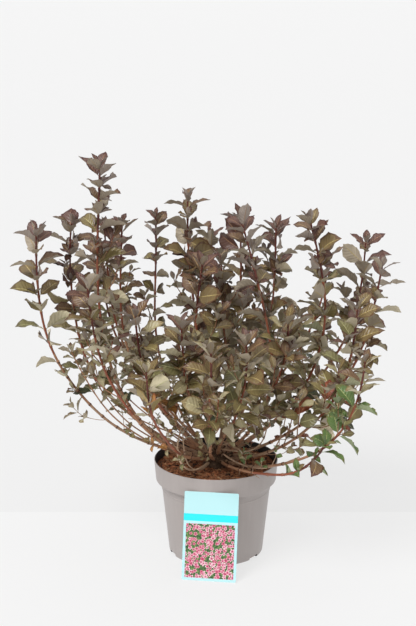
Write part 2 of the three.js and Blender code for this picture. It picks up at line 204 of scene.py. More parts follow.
@dataclass(frozen=True)
class MouldedPolypropylene(Finish):
    """Polypropylene, injection moulded: satin, with faint upright flow marks and a fine skin.

    To the eye it is even and a little waxy, slightly lighter where the flow fronts met.
    """

    flow_colour: str = "a69e9b"
    flow_width: float = 16.0
    flow_stretch: float = 0.1
    flow_contrast: float = 0.2
    flow_gloss: float = 0.06
    grain: float = 1.4  # the real skin is finer; this is as coarse as shows
    grain_depth: float = 0.05
    grain_strength: float = 0.35

    def material(self) -> Material:
        """Makes the plastic's material."""
        material, tree, shader, place = self.start()
        stretch = {"Scale": (1.0, 1.0, self.flow_stretch)}
        drawn = add_node(tree, "Mapping", stretch, {"Vector": place})["Vector"]
        scale = {"Scale": per_metre(self.flow_width), "Detail": 4.0, "Roughness": 0.55}
        flow = add_node(tree, "TexNoise", scale, {"Vector": drawn})["Fac"]
        step = {"To Min": self.roughness - self.flow_gloss, "To Max": self.roughness + self.flow_gloss}
        gloss = add_node(tree, "MapRange", step, {"Value": flow})["Result"]
        tone = self.two_tone(tree, flow, self.flow_contrast, self.flow_colour)
        skin = self.relief(tree, place, self.grain, self.grain_depth, self.grain_strength)
        for name, source in (("Base Color", tone), ("Roughness", gloss), ("Normal", skin)):
            tree.links.new(source, shader.inputs[name])
        return material


@dataclass(frozen=True)
class Wood(Finish):
    """Bark or cut wood, grown: matt, mottled between two colours, rough to the touch.

    To the eye it is dry, with lighter scurf on the high places and dark in the cracks.
    """

    second: str = "5b3524"
    mottle: float = 7.0
    contrast: float = 0.22
    grain: float = 1.6
    grain_depth: float = 0.5
    grain_strength: float = 0.6

    def material(self) -> Material:
        """Makes the wood's material."""
        material, tree, shader, place = self.start()
        scale = {"Scale": per_metre(self.mottle), "Detail": 5.0, "Roughness": 0.6}
        mottle = add_node(tree, "TexNoise", scale, {"Vector": place})["Fac"]
        tone = self.two_tone(tree, mottle, self.contrast, self.second)
        relief = self.relief(tree, place, self.grain, self.grain_depth, self.grain_strength, 3.0, 0.6)
        tree.links.new(tone, shader.inputs["Base Color"])
        tree.links.new(relief, shader.inputs["Normal"])
        return material


@dataclass(frozen=True)
class LeafSkin(Finish):
    """One face of a living leaf, grown: waxy, with a net of veins that breaks up its shine.

    To the eye it is satin with a soft bloom. Its colour is plain, because the colours of this
    shrub are dealt out leaf by leaf and face by face.
    """

    net: float = 2.4  # the real net is half a millimetre; this is as coarse as shows
    net_depth: float = 0.16
    net_strength: float = 0.5
    net_gloss: Span = (0.08, 0.1)
    veins: float = 8.0  # pairs of side veins
    vein_slant: float = 0.2  # how far a vein runs forward
    vein_depth: float = 0.5
    vein_strength: float = 0.6
    bloom: float = 0.0

    def material(self) -> Material:
        """Makes the leaf's material."""
        material, tree, shader, place = self.start()
        shader.inputs["Sheen Weight"].default_value = self.bloom
        shader.inputs["Sheen Roughness"].default_value = 0.6
        scale = {"Scale": per_metre(self.net), "Detail": 2.0, "Roughness": 0.5}
        net = add_node(tree, "TexNoise", scale, {"Vector": place})["Fac"]
        (low, high), (less, more) = NOISE_RANGE, self.net_gloss
        step = {"From Min": low, "From Max": high}
        step |= {"To Min": self.roughness - less, "To Max": self.roughness + more}
        gloss = add_node(tree, "MapRange", step, {"Value": net})["Result"]
        blade = add_node(tree, "UVMap", {"uv_map": BLADE_MAP})["UV"]
        along, aside, _ = add_node(tree, "SeparateXYZ", {}, {0: blade})
        away = add_node(tree, "Math", {"operation": "ABSOLUTE"}, {0: aside})[0]
        slant = {"operation": "MULTIPLY_ADD", 1: -self.vein_slant}
        vein = add_node(tree, "Math", slant, {0: away, 2: along})[0]
        turn = {"operation": "MULTIPLY", 1: 2 * math.pi * self.veins}
        wound = add_node(tree, "Math", turn, {0: vein})[0]
        swell = add_node(tree, "Math", {"operation": "SINE"}, {0: wound})[0]
        raised = {"Strength": self.vein_strength, "Distance": self.vein_depth * MM}
        pleats = add_node(tree, "Bump", raised, {"Height": swell})["Normal"]
        raised = {"Strength": self.net_strength, "Distance": self.net_depth * MM}
        relief = add_node(tree, "Bump", raised, {"Height": net, "Normal": pleats})["Normal"]
        tree.links.new(gloss, shader.inputs["Roughness"])
        tree.links.new(relief, shader.inputs["Normal"])
        return material


@dataclass(frozen=True)
class PrintedCard(Finish):
    """Coated card, offset printed and varnished: smooth, semi-gloss, with crisp flat inks.

    The print is plain bands of aqua over a bed of five-petalled blossoms on green.
    """

    band: str = "29dfe5"
    greens: tuple[tuple[float, str], ...] = ((0.4, "2b4429"), (0.52, "4f7340"), (0.66, "7d9350"))
    green_size: float = 6.0
    petal: str = "d8718d"
    pale_petal: str = "f6d3dc"
    eye: str = "a8305a"
    width: float = 123.0
    bed_margin: float = 6.0  # of the bed of blossoms, at both sides
    bed_rows: Span = (6.0, 128.0)  # its foot and top, up the card
    band_rows: Span = (134.0, 150.0)
    blossom_sizes: Series = (16.0, 12.5, 10.0)
    petals: int = 5
    petal_reach: Span = (0.19, 0.2)  # of a lobe, and of the whole flower, in cells
    throat: Span = (0.08, 0.3)  # where the eye's colour ends and the petal's starts
    bare_cells: float = 0.25  # share of the places that bear no flower
    layer_shift: Span = (0.037, 0.021)  # metres that each layer lies beside the last

    def material(self) -> Material:
        """Makes the print; the card's own X runs across it and Y up it.

        Returns:
            The material.
        """
        material, tree, shader, place = self.start()
        across, up, _ = add_node(tree, "SeparateXYZ", {}, {0: place})
        flat = add_node(tree, "CombineXYZ", {}, {0: across, 1: up})[0]
        scale = {"Scale": per_metre(self.green_size), "Detail": 4.0, "Roughness": 0.7}
        foliage = add_node(tree, "TexNoise", scale, {"Vector": flat})["Fac"]
        ink = add_node(tree, "ValToRGB", {"ramp": self.greens}, {0: foliage})["Color"]
        for layer, size in enumerate(self.blossom_sizes):
            ink = self.blossoms(tree, flat, ink, size, layer)

        half = self.width / 2 - self.bed_margin
        masks = []
        for value, (low, high) in ((across, (-half, half)), (up, self.bed_rows), (up, self.band_rows)):
            span = {"operation": "COMPARE", 1: (low + high) / 2 * MM, 2: (high - low) / 2 * MM}
            masks.append(add_node(tree, "Math", span, {0: value})[0])
        beside, bed, band = masks
        bed = add_node(tree, "Math", {"operation": "MULTIPLY"}, {0: beside, 1: bed})[0]
        sheet = {"data_type": "RGBA", 6: linear(self.colour)}
        ink = add_node(tree, "Mix", sheet, {0: bed, 7: ink})[2]
        strip = {"data_type": "RGBA", 7: linear(self.band)}
        ink = add_node(tree, "Mix", strip, {0: band, 6: ink})[2]
        tree.links.new(ink, shader.inputs["Base Color"])
        return material

    def blossoms(self, tree: Tree, flat: Socket, ground: Socket, size: float, layer: int) -> Socket:
        """Lays a layer of five-petalled blossoms over a ground colour.

        Args:
            tree: The print's node tree.
            flat: Coordinates in the plane of the card, in metres.
            ground: The colour underneath.
            size: The spacing of the blossoms.
            layer: The layer's number, which shifts its pattern.

        Returns:
            The colour with the blossoms on it.
        """
        beside, above = self.layer_shift
        shift = {"Location": (beside * (layer + 1), above * layer, 0.0)}
        shifted = add_node(tree, "Mapping", shift, {"Vector": flat})[0]
        grid = {"voronoi_dimensions": "2D", "Scale": per_metre(size), "Randomness": 0.8}
        cells = add_node(tree, "TexVoronoi", grid, {"Vector": shifted})
        ends = {0: shifted, 1: cells["Position"]}
        offset = add_node(tree, "VectorMath", {"operation": "SUBTRACT"}, ends)[0]
        x, y, _ = add_node(tree, "SeparateXYZ", {}, {0: offset})
        angle = add_node(tree, "Math", {"operation": "ARCTAN2"}, {0: y, 1: x})[0]
        luck, _, turn = add_node(tree, "SeparateXYZ", {}, {0: cells["Color"]})
        count = {"operation": "MULTIPLY_ADD", 1: self.petals / 2}
        wound = add_node(tree, "Math", count, {0: angle, 2: turn})[0]
        wave = add_node(tree, "Math", {"operation": "COSINE"}, {0: wound})[0]
        lobe = add_node(tree, "Math", {"operation": "ABSOLUTE"}, {0: wave})[0]
        size_of = {"operation": "MULTIPLY_ADD", 1: self.petal_reach[0], 2: self.petal_reach[1]}
        reach = add_node(tree, "Math", size_of, {0: lobe})[0]
        ends = {0: cells["Distance"], 1: reach}
        inside = add_node(tree, "Math", {"operation": "LESS_THAN"}, ends)[0]
        chosen = {"operation": "GREATER_THAN", 1: self.bare_cells}
        bears = add_node(tree, "Math", chosen, {0: luck})[0]
        present = add_node(tree, "Math", {"operation": "MULTIPLY"}, {0: inside, 1: bears})[0]
        pair = {"data_type": "RGBA", 6: linear(self.petal), 7: linear(self.pale_petal)}
        petal = add_node(tree, "Mix", pair, {0: turn})[2]
        step = {"From Min": self.throat[0], "From Max": self.throat[1]}
        outer = add_node(tree, "MapRange", step, {"Value": cells["Distance"]})["Result"]
        eye = {"data_type": "RGBA", 6: linear(self.eye)}
        flower = add_node(tree, "Mix", eye, {0: outer, 7: petal})[2]
        return add_node(tree, "Mix", {"data_type": "RGBA"}, {0: present, 6: ground, 7: flower})[2]


@dataclass(frozen=True)
class BackdropPaper(Finish):
    """Backdrop paper, rolled out and lit from below: matt, so that shadows on it stay faint."""

    glow: float = 4.8
    fibre: float = 3.0
    fibre_depth: float = 0.02
    fibre_strength: float = 0.3

    def material(self) -> Material:
        """Makes the paper's material."""
        material, tree, shader, place = self.start()
        shader.inputs["Emission Color"].default_value = linear(self.colour)
        shader.inputs["Emission Strength"].default_value = self.glow
        relief = self.relief(tree, place, self.fibre, self.fibre_depth, self.fibre_strength)
        tree.links.new(relief, shader.inputs["Normal"])
        return material


# ---- shapes


def unit(vectors: Array) -> Array:
    """The same vectors with length one."""
    return vectors / np.linalg.norm(vectors, axis=-1, keepdims=True)


def heading(degrees: float) -> Array:
    """The level direction at this angle from +X towards +Y."""
    angle = math.radians(degrees)
    return np.array((math.cos(angle), math.sin(angle), 0.0))


def side_of(along: Array, turn: float) -> Array:
    """A direction square to another.

    Args:
        along: The direction that the result is square to, of length one.
        turn: The angle round it, in radians from the level.

    Returns:
        The direction, of length one.
    """
    level = UP if abs(along[2]) < 0.98 else np.array((1.0, 0.0, 0.0))
    first = unit(np.cross(along, level))
    return first * math.cos(turn) + np.cross(along, first) * math.sin(turn)


def capped(rings: Array, poles: Array) -> Shape:
    """A closed body that runs from ring to ring, with a point at each end.

    Args:
        rings: The points, by ring and side.
        poles: The points at the two ends.

    Returns:
        The points, and the faces as quads and then triangles. Quads follow the order of the rings.
    """
    sides = rings.shape[1]
    ring = np.arange(rings.shape[0] * sides).reshape(-1, sides)
    ahead = np.roll(ring, -1, axis=1)
    quads = np.stack([ring[:-1], ahead[:-1], ahead[1:], ring[1:]], axis=-1).reshape(-1, 4)
    first, last = np.full(sides, ring.size), np.full(sides, ring.size + 1)
    ends = [np.stack([first, ahead[0], ring[0]], axis=-1), np.stack([last, ring[-1], ahead[-1]], axis=-1)]
    return np.concatenate([rings.reshape(-1, 3), poles]), [quads, np.concatenate(ends)]


def tube(path: Array, radii: Array, sides: int) -> Shape:
    """A closed tube along a path.

    Args:
        path: One point for each ring.
        radii: The radius of each ring, or one for each ring and side.
        sides: The number of points in a ring.

    Returns:
        The points and faces, as capped() gives them.
    """
    count = len(path)
    spread = np.broadcast_to(np.asarray(radii).reshape(count, -1), (count, sides))
    tangents = unit(np.gradient(path, axis=0))
    angles = np.arange(sides) * 2 * math.pi / sides
    across = side_of(tangents[0], 0.0)
    rings = np.empty((count, sides, 3))
    for i, tangent in enumerate(tangents):
        across = unit(across - tangent * (across @ tangent))
        beside = np.cross(tangent, across)
        rings[i] = path[i] + (spread[i] * np.cos(angles))[:, None] * across
        rings[i] += (spread[i] * np.sin(angles))[:, None] * beside
    return capped(rings, path[[0, -1]])


def lathe(profile: Array, segments: int) -> Shape:
    """A body turned about Z, from an outline that starts and ends on the axis.

    Args:
        profile: Radius and height of each point, up the outside first.
        segments: The number of points in a ring.

    Returns:
        The points and faces, as capped() gives them.
    """
    angles = np.arange(segments) * 2 * math.pi / segments
    inner = profile[1:-1]
    rings = np.empty((len(inner), segments, 3))
    rings[..., 0] = inner[:, :1] * np.cos(angles)
    rings[..., 1] = inner[:, :1] * np.sin(angles)
    rings[..., 2] = inner[:, 1:]
    return capped(rings, np.array([(0.0, 0.0, profile[0, 1]), (0.0, 0.0, profile[-1, 1])]))


def rounded(corners: list[Triple], steps: int = 5) -> Array:
    """An outline whose corners are rounded off.

    Args:
        corners: Each corner's two coordinates and the radius of its arc.
        steps: The number of stretches in an arc.

    Returns:
        The outline's points.
    """
    points = []
    for i, (x, y, radius) in enumerate(corners):
        here = np.array((x, y))
        if radius == 0 or i in (0, len(corners) - 1):
            points.append(here)
            continue
        before = unit(np.array(corners[i - 1][:2]) - here)
        after = unit(np.array(corners[i + 1][:2]) - here)
        half = math.acos(max(-1.0, min(1.0, float(before @ after)))) / 2
        away = radius / math.tan(half)
        middle = here + unit(before + after) * radius / math.sin(half)
        start, end = here + before * away, here + after * away
        for share in np.linspace(0, 1, steps + 1):
            chord = start + (end - start) * share - middle
            points.append(middle + unit(chord) * radius)
    return np.array(points)


class Patchwork:
    """Points and faces that are gathered bit by bit and then made into one object."""

    def __init__(self) -> None:
        """Starts with nothing in it."""
        self.points: list[Array] = []
        self.faces: list[Array] = []
        self.slots: list[Array] = []
        self.marks: list[Array] = []
        self.count = 0

    def add(
        self, points: Array, faces: list[Array], slots: int | list[Array] = 0, marks: Array | None = None
    ) -> None:
        """Adds a shape.

        Args:
            points: The shape's points, in mm.
            faces: Arrays of faces, each array with one number of corners.
            slots: The material slot of every face, or an array of slots for each array of faces.
            marks: Two coordinates for each point, that its material reads.
        """
        self.points.append(points)
        if marks is not None:
            self.marks.append(marks)
        for i, group in enumerate(faces):
            self.faces.append(group + self.count)
            self.slots.append(np.full(len(group), slots) if isinstance(slots, int) else slots[i])
        self.count += len(points)

    def build(self, name: str, materials: list[Material], crease: float = 60.0) -> Piece:
        """Makes the object.

        Args:
            name: The piece's name.
            materials: The materials, in the order of the slots.
            crease: Edges that turn by more degrees than this stay sharp.

        Returns:
            The object, at the origin.
        """
        points = np.concatenate(self.points) * MM
        corners = np.concatenate([group.ravel() for group in self.faces])
        sizes = np.concatenate([np.full(len(group), group.shape[1]) for group in self.faces])
        starts = np.concatenate([[0], np.cumsum(sizes)[:-1]])
        mesh = bpy.data.meshes.new(name)
        mesh.vertices.add(len(points))
        mesh.vertices.foreach_set("co", points.astype(np.float32).ravel())
        mesh.loops.add(len(corners))
        mesh.loops.foreach_set("vertex_index", corners.astype(np.int32))
        mesh.polygons.add(len(sizes))
        mesh.polygons.foreach_set("loop_start", starts.astype(np.int32))
        for material in materials:
            mesh.materials.append(material)
        mesh.polygons.foreach_set("material_index", np.concatenate(self.slots).astype(np.int32))
        mesh.update(calc_edges=True)
        if self.marks:
            marks = np.concatenate(self.marks)[corners].astype(np.float32)
            mesh.uv_layers.new(name=BLADE_MAP).data.foreach_set("uv", marks.ravel())
        mesh.validate()
        piece = bpy.data.objects.new(name, mesh)
        bpy.context.scene.collection.objects.link(piece)
        smooth(piece, crease)
        return piece


def smooth(piece: Piece, crease: float) -> None:
    """Shades a piece smooth, apart from edges that turn by more degrees than the crease."""
    mesh = piece.data
    mesh.polygons.foreach_set("use_smooth", np.ones(len(mesh.polygons), dtype=bool))
    mesh.set_sharp_from_angle(angle=math.radians(crease))


def applied(piece: Piece) -> None:
    """Replaces a piece's mesh by what its modifiers make of it."""
    evaluated = piece.evaluated_get(bpy.context.evaluated_depsgraph_get())
    mesh = bpy.data.meshes.new_from_object(evaluated)
    piece.modifiers.clear()
    piece.data = mesh


def settle(piece: Piece, slot: str, *nodes: str) -> None:
    """Puts a piece on the plant's body, in place of nodes.

    Args:
        piece: The finished piece.
        slot: Not used.
        nodes: The plain solids that it stands for.
    """
    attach(piece, BODY)
    if nodes:
        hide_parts(*nodes)
    LOG.info("%s: %d faces", piece.name, len(piece.data.polygons))


# ---- the plant's habit


class Tint(Enum):
    """The leaf colours, from the youngest growth to the oldest, then the turned and the new ones."""

    PLUM = "plum"
    BRONZE = "bronze"
    OLIVE_BROWN = "olive_brown"
    OLIVE = "olive"
    MOSS = "moss"
    DARK_GREEN = "dark_green"
    SAGE = "sage"
    FRESH_GREEN = "fresh_green"
    AMBER = "amber"
    RUST = "rust"


AGES = (Tint.PLUM, Tint.BRONZE, Tint.OLIVE_BROWN, Tint.OLIVE, Tint.MOSS, Tint.DARK_GREEN)


class Bark(IntEnum):
    """The bark of a stem, from its old foot to its young tip. The value is its material slot."""

    OLD = 0
    TAN = 1
    RED = 2
    MAROON = 3
    SCAR = 4
    STRAW = 5


@dataclass(frozen=True)
class StemBark(Wood):
    """The bark of a living stem, grown: finer in its grain than old wood."""

    grain: float = 1.2


STEM_BARKS = {
    Bark.OLD: StemBark("bark_old_grey_brown", "ab8b70", 0.75, second="82634d", mottle=9.0, grain_depth=0.25),
    Bark.TAN: StemBark("bark_tan_smooth", "ab7f5f", 0.6, second="8b6148", mottle=12.0, grain_depth=0.15),
    Bark.RED: StemBark("bark_red_smooth", "96563a", 0.5, second="783f2c", mottle=10.0, grain_depth=0.1),
    Bark.MAROON: StemBark("bark_maroon_downy", "6d342a", 0.5, second="532823", mottle=8.0, grain_depth=0.1),
    Bark.SCAR: StemBark("bark_leaf_scar", "6b4a39", 0.85, second="4a3227", mottle=4.0, grain_depth=0.3),
    Bark.STRAW: StemBark("bark_straw_pale", "c4a78c", 0.7, second="9f8068", mottle=10.0, grain_depth=0.2),
}


@dataclass(frozen=True)
class Knob:
    """What stands at a bare node: its length, its slant, its lift, its thickness and its bark."""

    length: Span
    slant: float
    lift: float
    radii: Triple
    bark: Bark


BUD = Knob((2.5, 4.5), 0.9, 0.0, (1.7, 1.5, 0.5), Bark.TAN)
DEAD_SPUR = Knob((6.0, 22.0), 0.8, 0.12, (1.25, 0.95, 0.6), Bark.OLD)


@dataclass(frozen=True)
class Stem:
    """One stem, from the woody crown to its tip.

    azimuth is the direction of the tip seen from above, from +X towards +Y, and foot the same for
    the place where the stem leaves the crown. reach and height place the tip. rise is the slope
    at the foot and lean the outward slope from upright at the tip. pull is the first handle of
    the stem's curve. bushy scales the number of its side shoots, leafy the size of its leaves,
    bare is the share of it that has lost its leaves, where that isn't the usual one, and accent
    is a colour that some of its low leaves have turned.
    """

    name: str
    azimuth: float
    foot: float
    reach: float
    height: float
    rise: float
    lean: float
    pull: float
    bushy: float = 1.0
    leafy: float = 1.0
    bare: float | None = None
    accent: Tint | None = None


STEMS = (
    Stem("far_left", 180, 183, 403, 785, 12, -3, 0.44, bushy=0.3, bare=0.5),
    Stem("left_outer", 164, 160, 345, 787, 14, -5, 0.48, bushy=1.2, bare=0.5),
    Stem("left_tallest", 181, 204, 258, 937, 21, -3, 0.4, bushy=0.8, bare=0.48),
    Stem("left_front", 205, 221, 310, 694, 22, 5, 0.42, bushy=0.8, bare=0.58, accent=Tint.AMBER),
    Stem("left_rear", 144, 140, 324, 760, 26, 0, 0.42, bushy=0.5, leafy=0.85),
    Stem("left_inner", 153, 166, 243, 784, 36, -4, 0.45, bushy=0.4, leafy=0.75),
    Stem("left_short", 214, 206, 214, 625, 44, 4, 0.4, bare=0.5, accent=Tint.AMBER),
    Stem("back_left", 136, 120, 385, 640, 16, 4, 0.42, bushy=0.7),
    Stem("rear_left", 122, 150, 270, 775, 42, 0, 0.4, bushy=0.4, leafy=0.75),
    Stem("rear_tall", 108, 104, 214, 824, 55, 0, 0.4),
    Stem("back_centre", 92, 96, 330, 700, 31, 2, 0.4),
    Stem("centre_left", 148, 150, 38, 708, 75, -8, 0.4),
    Stem("rear_centre", 74, 70, 209, 779, 54, -4, 0.4, bushy=1.2),
    Stem("centre_right", 84, 0, 118, 690, 74, 6, 0.4, bushy=1.5),
    Stem("rear_right", 60, 46, 288, 742, 46, 2, 0.4, bushy=1.8, bare=0.3),
    Stem("back_right", 36, 58, 330, 705, 28, 2, 0.42, bushy=0.5, leafy=0.85),
    Stem("right_outer", 17, 30, 361, 740, 22, 2, 0.44),
    Stem("right_tall", 5, 6, 212, 808, 29, -16, 0.45, bushy=0.9, bare=0.2),
    Stem("far_right", -8, -12, 371, 721, 20, 8, 0.42, leafy=0.9),
    Stem("centre_tall", -14, -28, 58, 812, 41, -16, 0.44, bushy=1.5),
    Stem("right_front", -21, -34, 331, 647, 15, 2, 0.44, bushy=1.6, bare=0.28, accent=Tint.RUST),
    Stem("right_low", -36, -52, 392, 556, 6, 4, 0.46, bushy=0.6, leafy=0.85, bare=0.5,
         accent=Tint.FRESH_GREEN),
    Stem("right_lowest", -46, -72, 338, 372, 9, 30, 0.42, bushy=0.3, leafy=0.95, bare=0.72,
         accent=Tint.FRESH_GREEN),
    Stem("right_inner", -24, -48, 175, 600, 48, 0, 0.4, bushy=2.4, bare=0.12),
    Stem("front_right", -74, -82, 229, 595, 45, -6, 0.4, bare=0.25),
    Stem("front_left", -118, -124, 165, 610, 60, 4, 0.4),
    Stem("left_low", 236, 240, 270, 530, 18, 4, 0.42, bushy=0.6, bare=0.7, accent=Tint.AMBER),
    Stem("front_low", -93, 262, 235, 575, 24, 0, 0.36),
)


@dataclass(frozen=True)
class Bow:
    """A thin branch that runs on a course of its own and joins a stem's leaves.

    stem is the stem in whose space its leaves stand, radius is its thickness at the foot, and
    handles are the control points of its course.
    """

    stem: str
    bark: Bark
    radius: float
    handles: tuple[Triple, ...]


BOWS = (
    Bow("front_left", Bark.STRAW, 2.9,
        ((-12, -14, 226), (-59, -175, 219), (-144, -108, 253), (-32, -50, 406))),
    Bow("front_left", Bark.STRAW, 1.9, ((-12, -16, 222), (-44, -96, 205), (-77, -115, 237), (-75, -80, 320))),
    Bow("right_inner", Bark.STRAW, 2.2, ((10, -10, 236), (-9, -21, 333), (142, -78, 141), (161, -40, 362))),
    Bow("right_inner", Bark.STRAW, 1.9, ((8, -14, 234), (-35, -46, 306), (130, -98, 189), (118, -30, 368))),
    Bow("front_right", Bark.STRAW, 1.9, ((12, -14, 232), (18, -100, 293), (50, -88, 187), (188, -110, 267))),
    Bow("far_left", Bark.TAN, 2.6, ((-24, -6, 222), (-172, -21, 244), (-279, -19, 350), (-331, 2, 485))),
    Bow("far_left", Bark.TAN, 2.2, ((-22, -2, 226), (-135, -14, 244), (-248, 11, 326), (-290, 16, 432))),
    Bow("left_outer", Bark.TAN, 2.0, ((-22, 2, 228), (-92, 11, 307), (-236, 20, 291), (-266, 38, 406))),
    Bow("left_inner", Bark.TAN, 2.0, ((-20, 8, 232), (-91, 14, 261), (-239, 45, 366), (-261, 52, 440))),
    Bow("left_inner", Bark.TAN, 2.0, ((-18, 14, 236), (-129, 22, 250), (-168, 52, 349), (-219, 60, 428))),
    Bow("front_low", Bark.RED, 1.6, ((-15, -180, 347), (-10, -215, 362), (0, -262, 390), (4, -280, 460))),
)


def eased(step: float, pace: float) -> float:
    """How far towards 1 something has come after some steps, if it goes slower and slower."""
    return 1 - math.exp(-step / pace)


class Curve:
    """A Bezier curve that is read by shares of its length."""

    samples: ClassVar[int] = 160
    swings: ClassVar[Span] = (9.0, 13.0)
    step: ClassVar[float] = 0.012

    def __init__(self, handles: list[Array], wander: float = 0.0, phase: float = 0.0) -> None:
        """Draws the curve.

        Args:
            handles: The Bezier curve's control points.
            wander: How far it strays to both sides of its true line, as grown wood does.
            phase: Where in its wandering it starts, in radians.
        """
        degree = len(handles) - 1
        u = np.linspace(0, 1, self.samples + 1)[:, None]
        line = sum(math.comb(degree, k) * u**k * (1 - u) ** (degree - k) * p for k, p in enumerate(handles))
        chord = unit(handles[-1] - handles[0])
        aside, below = side_of(chord, phase), side_of(chord, phase + math.pi / 2)
        swing = wander * np.sin(math.pi * u) ** 0.5
        level, upright = self.swings
        line = line + swing * (np.sin(level * u + phase) * aside + np.sin(upright * u + 2 * phase) * below)
        travel = np.concatenate([[0], np.cumsum(np.linalg.norm(np.diff(line, axis=0), axis=1))])
        self.line = line
        self.length = float(travel[-1])
        self.shares = travel / travel[-1]

    def at(self, shares: Array | float) -> Array:
        """The points at these shares of the length."""
        return np.stack([np.interp(shares, self.shares, self.line[:, axis]) for axis in range(3)], axis=-1)

    def along(self, share: float) -> Array:
        """The curve's direction at a share of its length."""
        return unit(self.at(min(1.0, share + self.step)) - self.at(max(0.0, share - self.step)))


@dataclass
class Leaf:
    """One leaf: where it sits, which way it faces and how it is bent. Angles are in radians."""

    root: Array  # on the twig's axis
    base: Array  # where the blade starts
    along: Array
    face: Array
    length: float
    breadth: float  # width as a share of length
    bend: float
    fold: float
    curl: float
    twist: float
    wave: float
    tint: Tint = Tint.OLIVE


def gathered(leaves: list[Leaf], *names: str) -> Iterator[Array]:
    """The named values of many leaves, as one array for each name."""
    return (np.array([getattr(leaf, name) for leaf in leaves]) for name in names)


class LeafFace(IntEnum):
    """The surfaces of a leaf. The value is the surface's material slot."""

    UPPER = 0
    MARGIN = 1
    RIB = 2
    UNDER = 3


@dataclass(frozen=True)
class LeafDress:
    """The hex colours of a leaf's upper face, its margin and tip, its rib, and its underside."""

    blade: str
    flush: str
    rib: str
    under: str

    def materials(self, tint: Tint) -> list[Material]:
        """The leaf's materials, named for its colour, in the order of the surfaces."""
        skins = (
            ("upper_face", self.blade, 0.37, 0.0),
            ("margin", self.flush, 0.37, 0.0),
            ("rib", self.rib, 0.5, 0.0),
            ("underside", self.under, 0.6, 0.04),
        )
        return [
            LeafSkin(f"leaf_{tint.value}_{name}", *look, bloom=bloom).material()
            for name, *look, bloom in skins
        ]


LEAF_DRESSES = {
    Tint.PLUM: LeafDress("65483e", "4c2720", "a0795a", "a3968b"),
    Tint.BRONZE: LeafDress("71573f", "573526", "ab9062", "a99c89"),
    Tint.OLIVE_BROWN: LeafDress("796643", "644931", "b5a26c", "b1a48f"),
    Tint.OLIVE: LeafDress("82744b", "69583b", "bcb27c", "b9ae94"),
    Tint.MOSS: LeafDress("7a744d", "645b3e", "b0ae7c", "bfb596"),
    Tint.DARK_GREEN: LeafDress("485037", "454533", "8b9168", "a3a27f"),
    Tint.SAGE: LeafDress("a69b78", "8f7c56", "bdb487", "d6cbb0"),
    Tint.FRESH_GREEN: LeafDress("5f7642", "6a6b3a", "a4aa6d", "9ba67f"),
    Tint.AMBER: LeafDress("a9753c", "8a4e2b", "c0a05c", "ac9868"),
    Tint.RUST: LeafDress("8c4b2e", "7a3b29", "b07a4c", "9a755a"),
}

STANDARD_LEAF = 60.0  # length of the leaf that stalks and spacings are given for


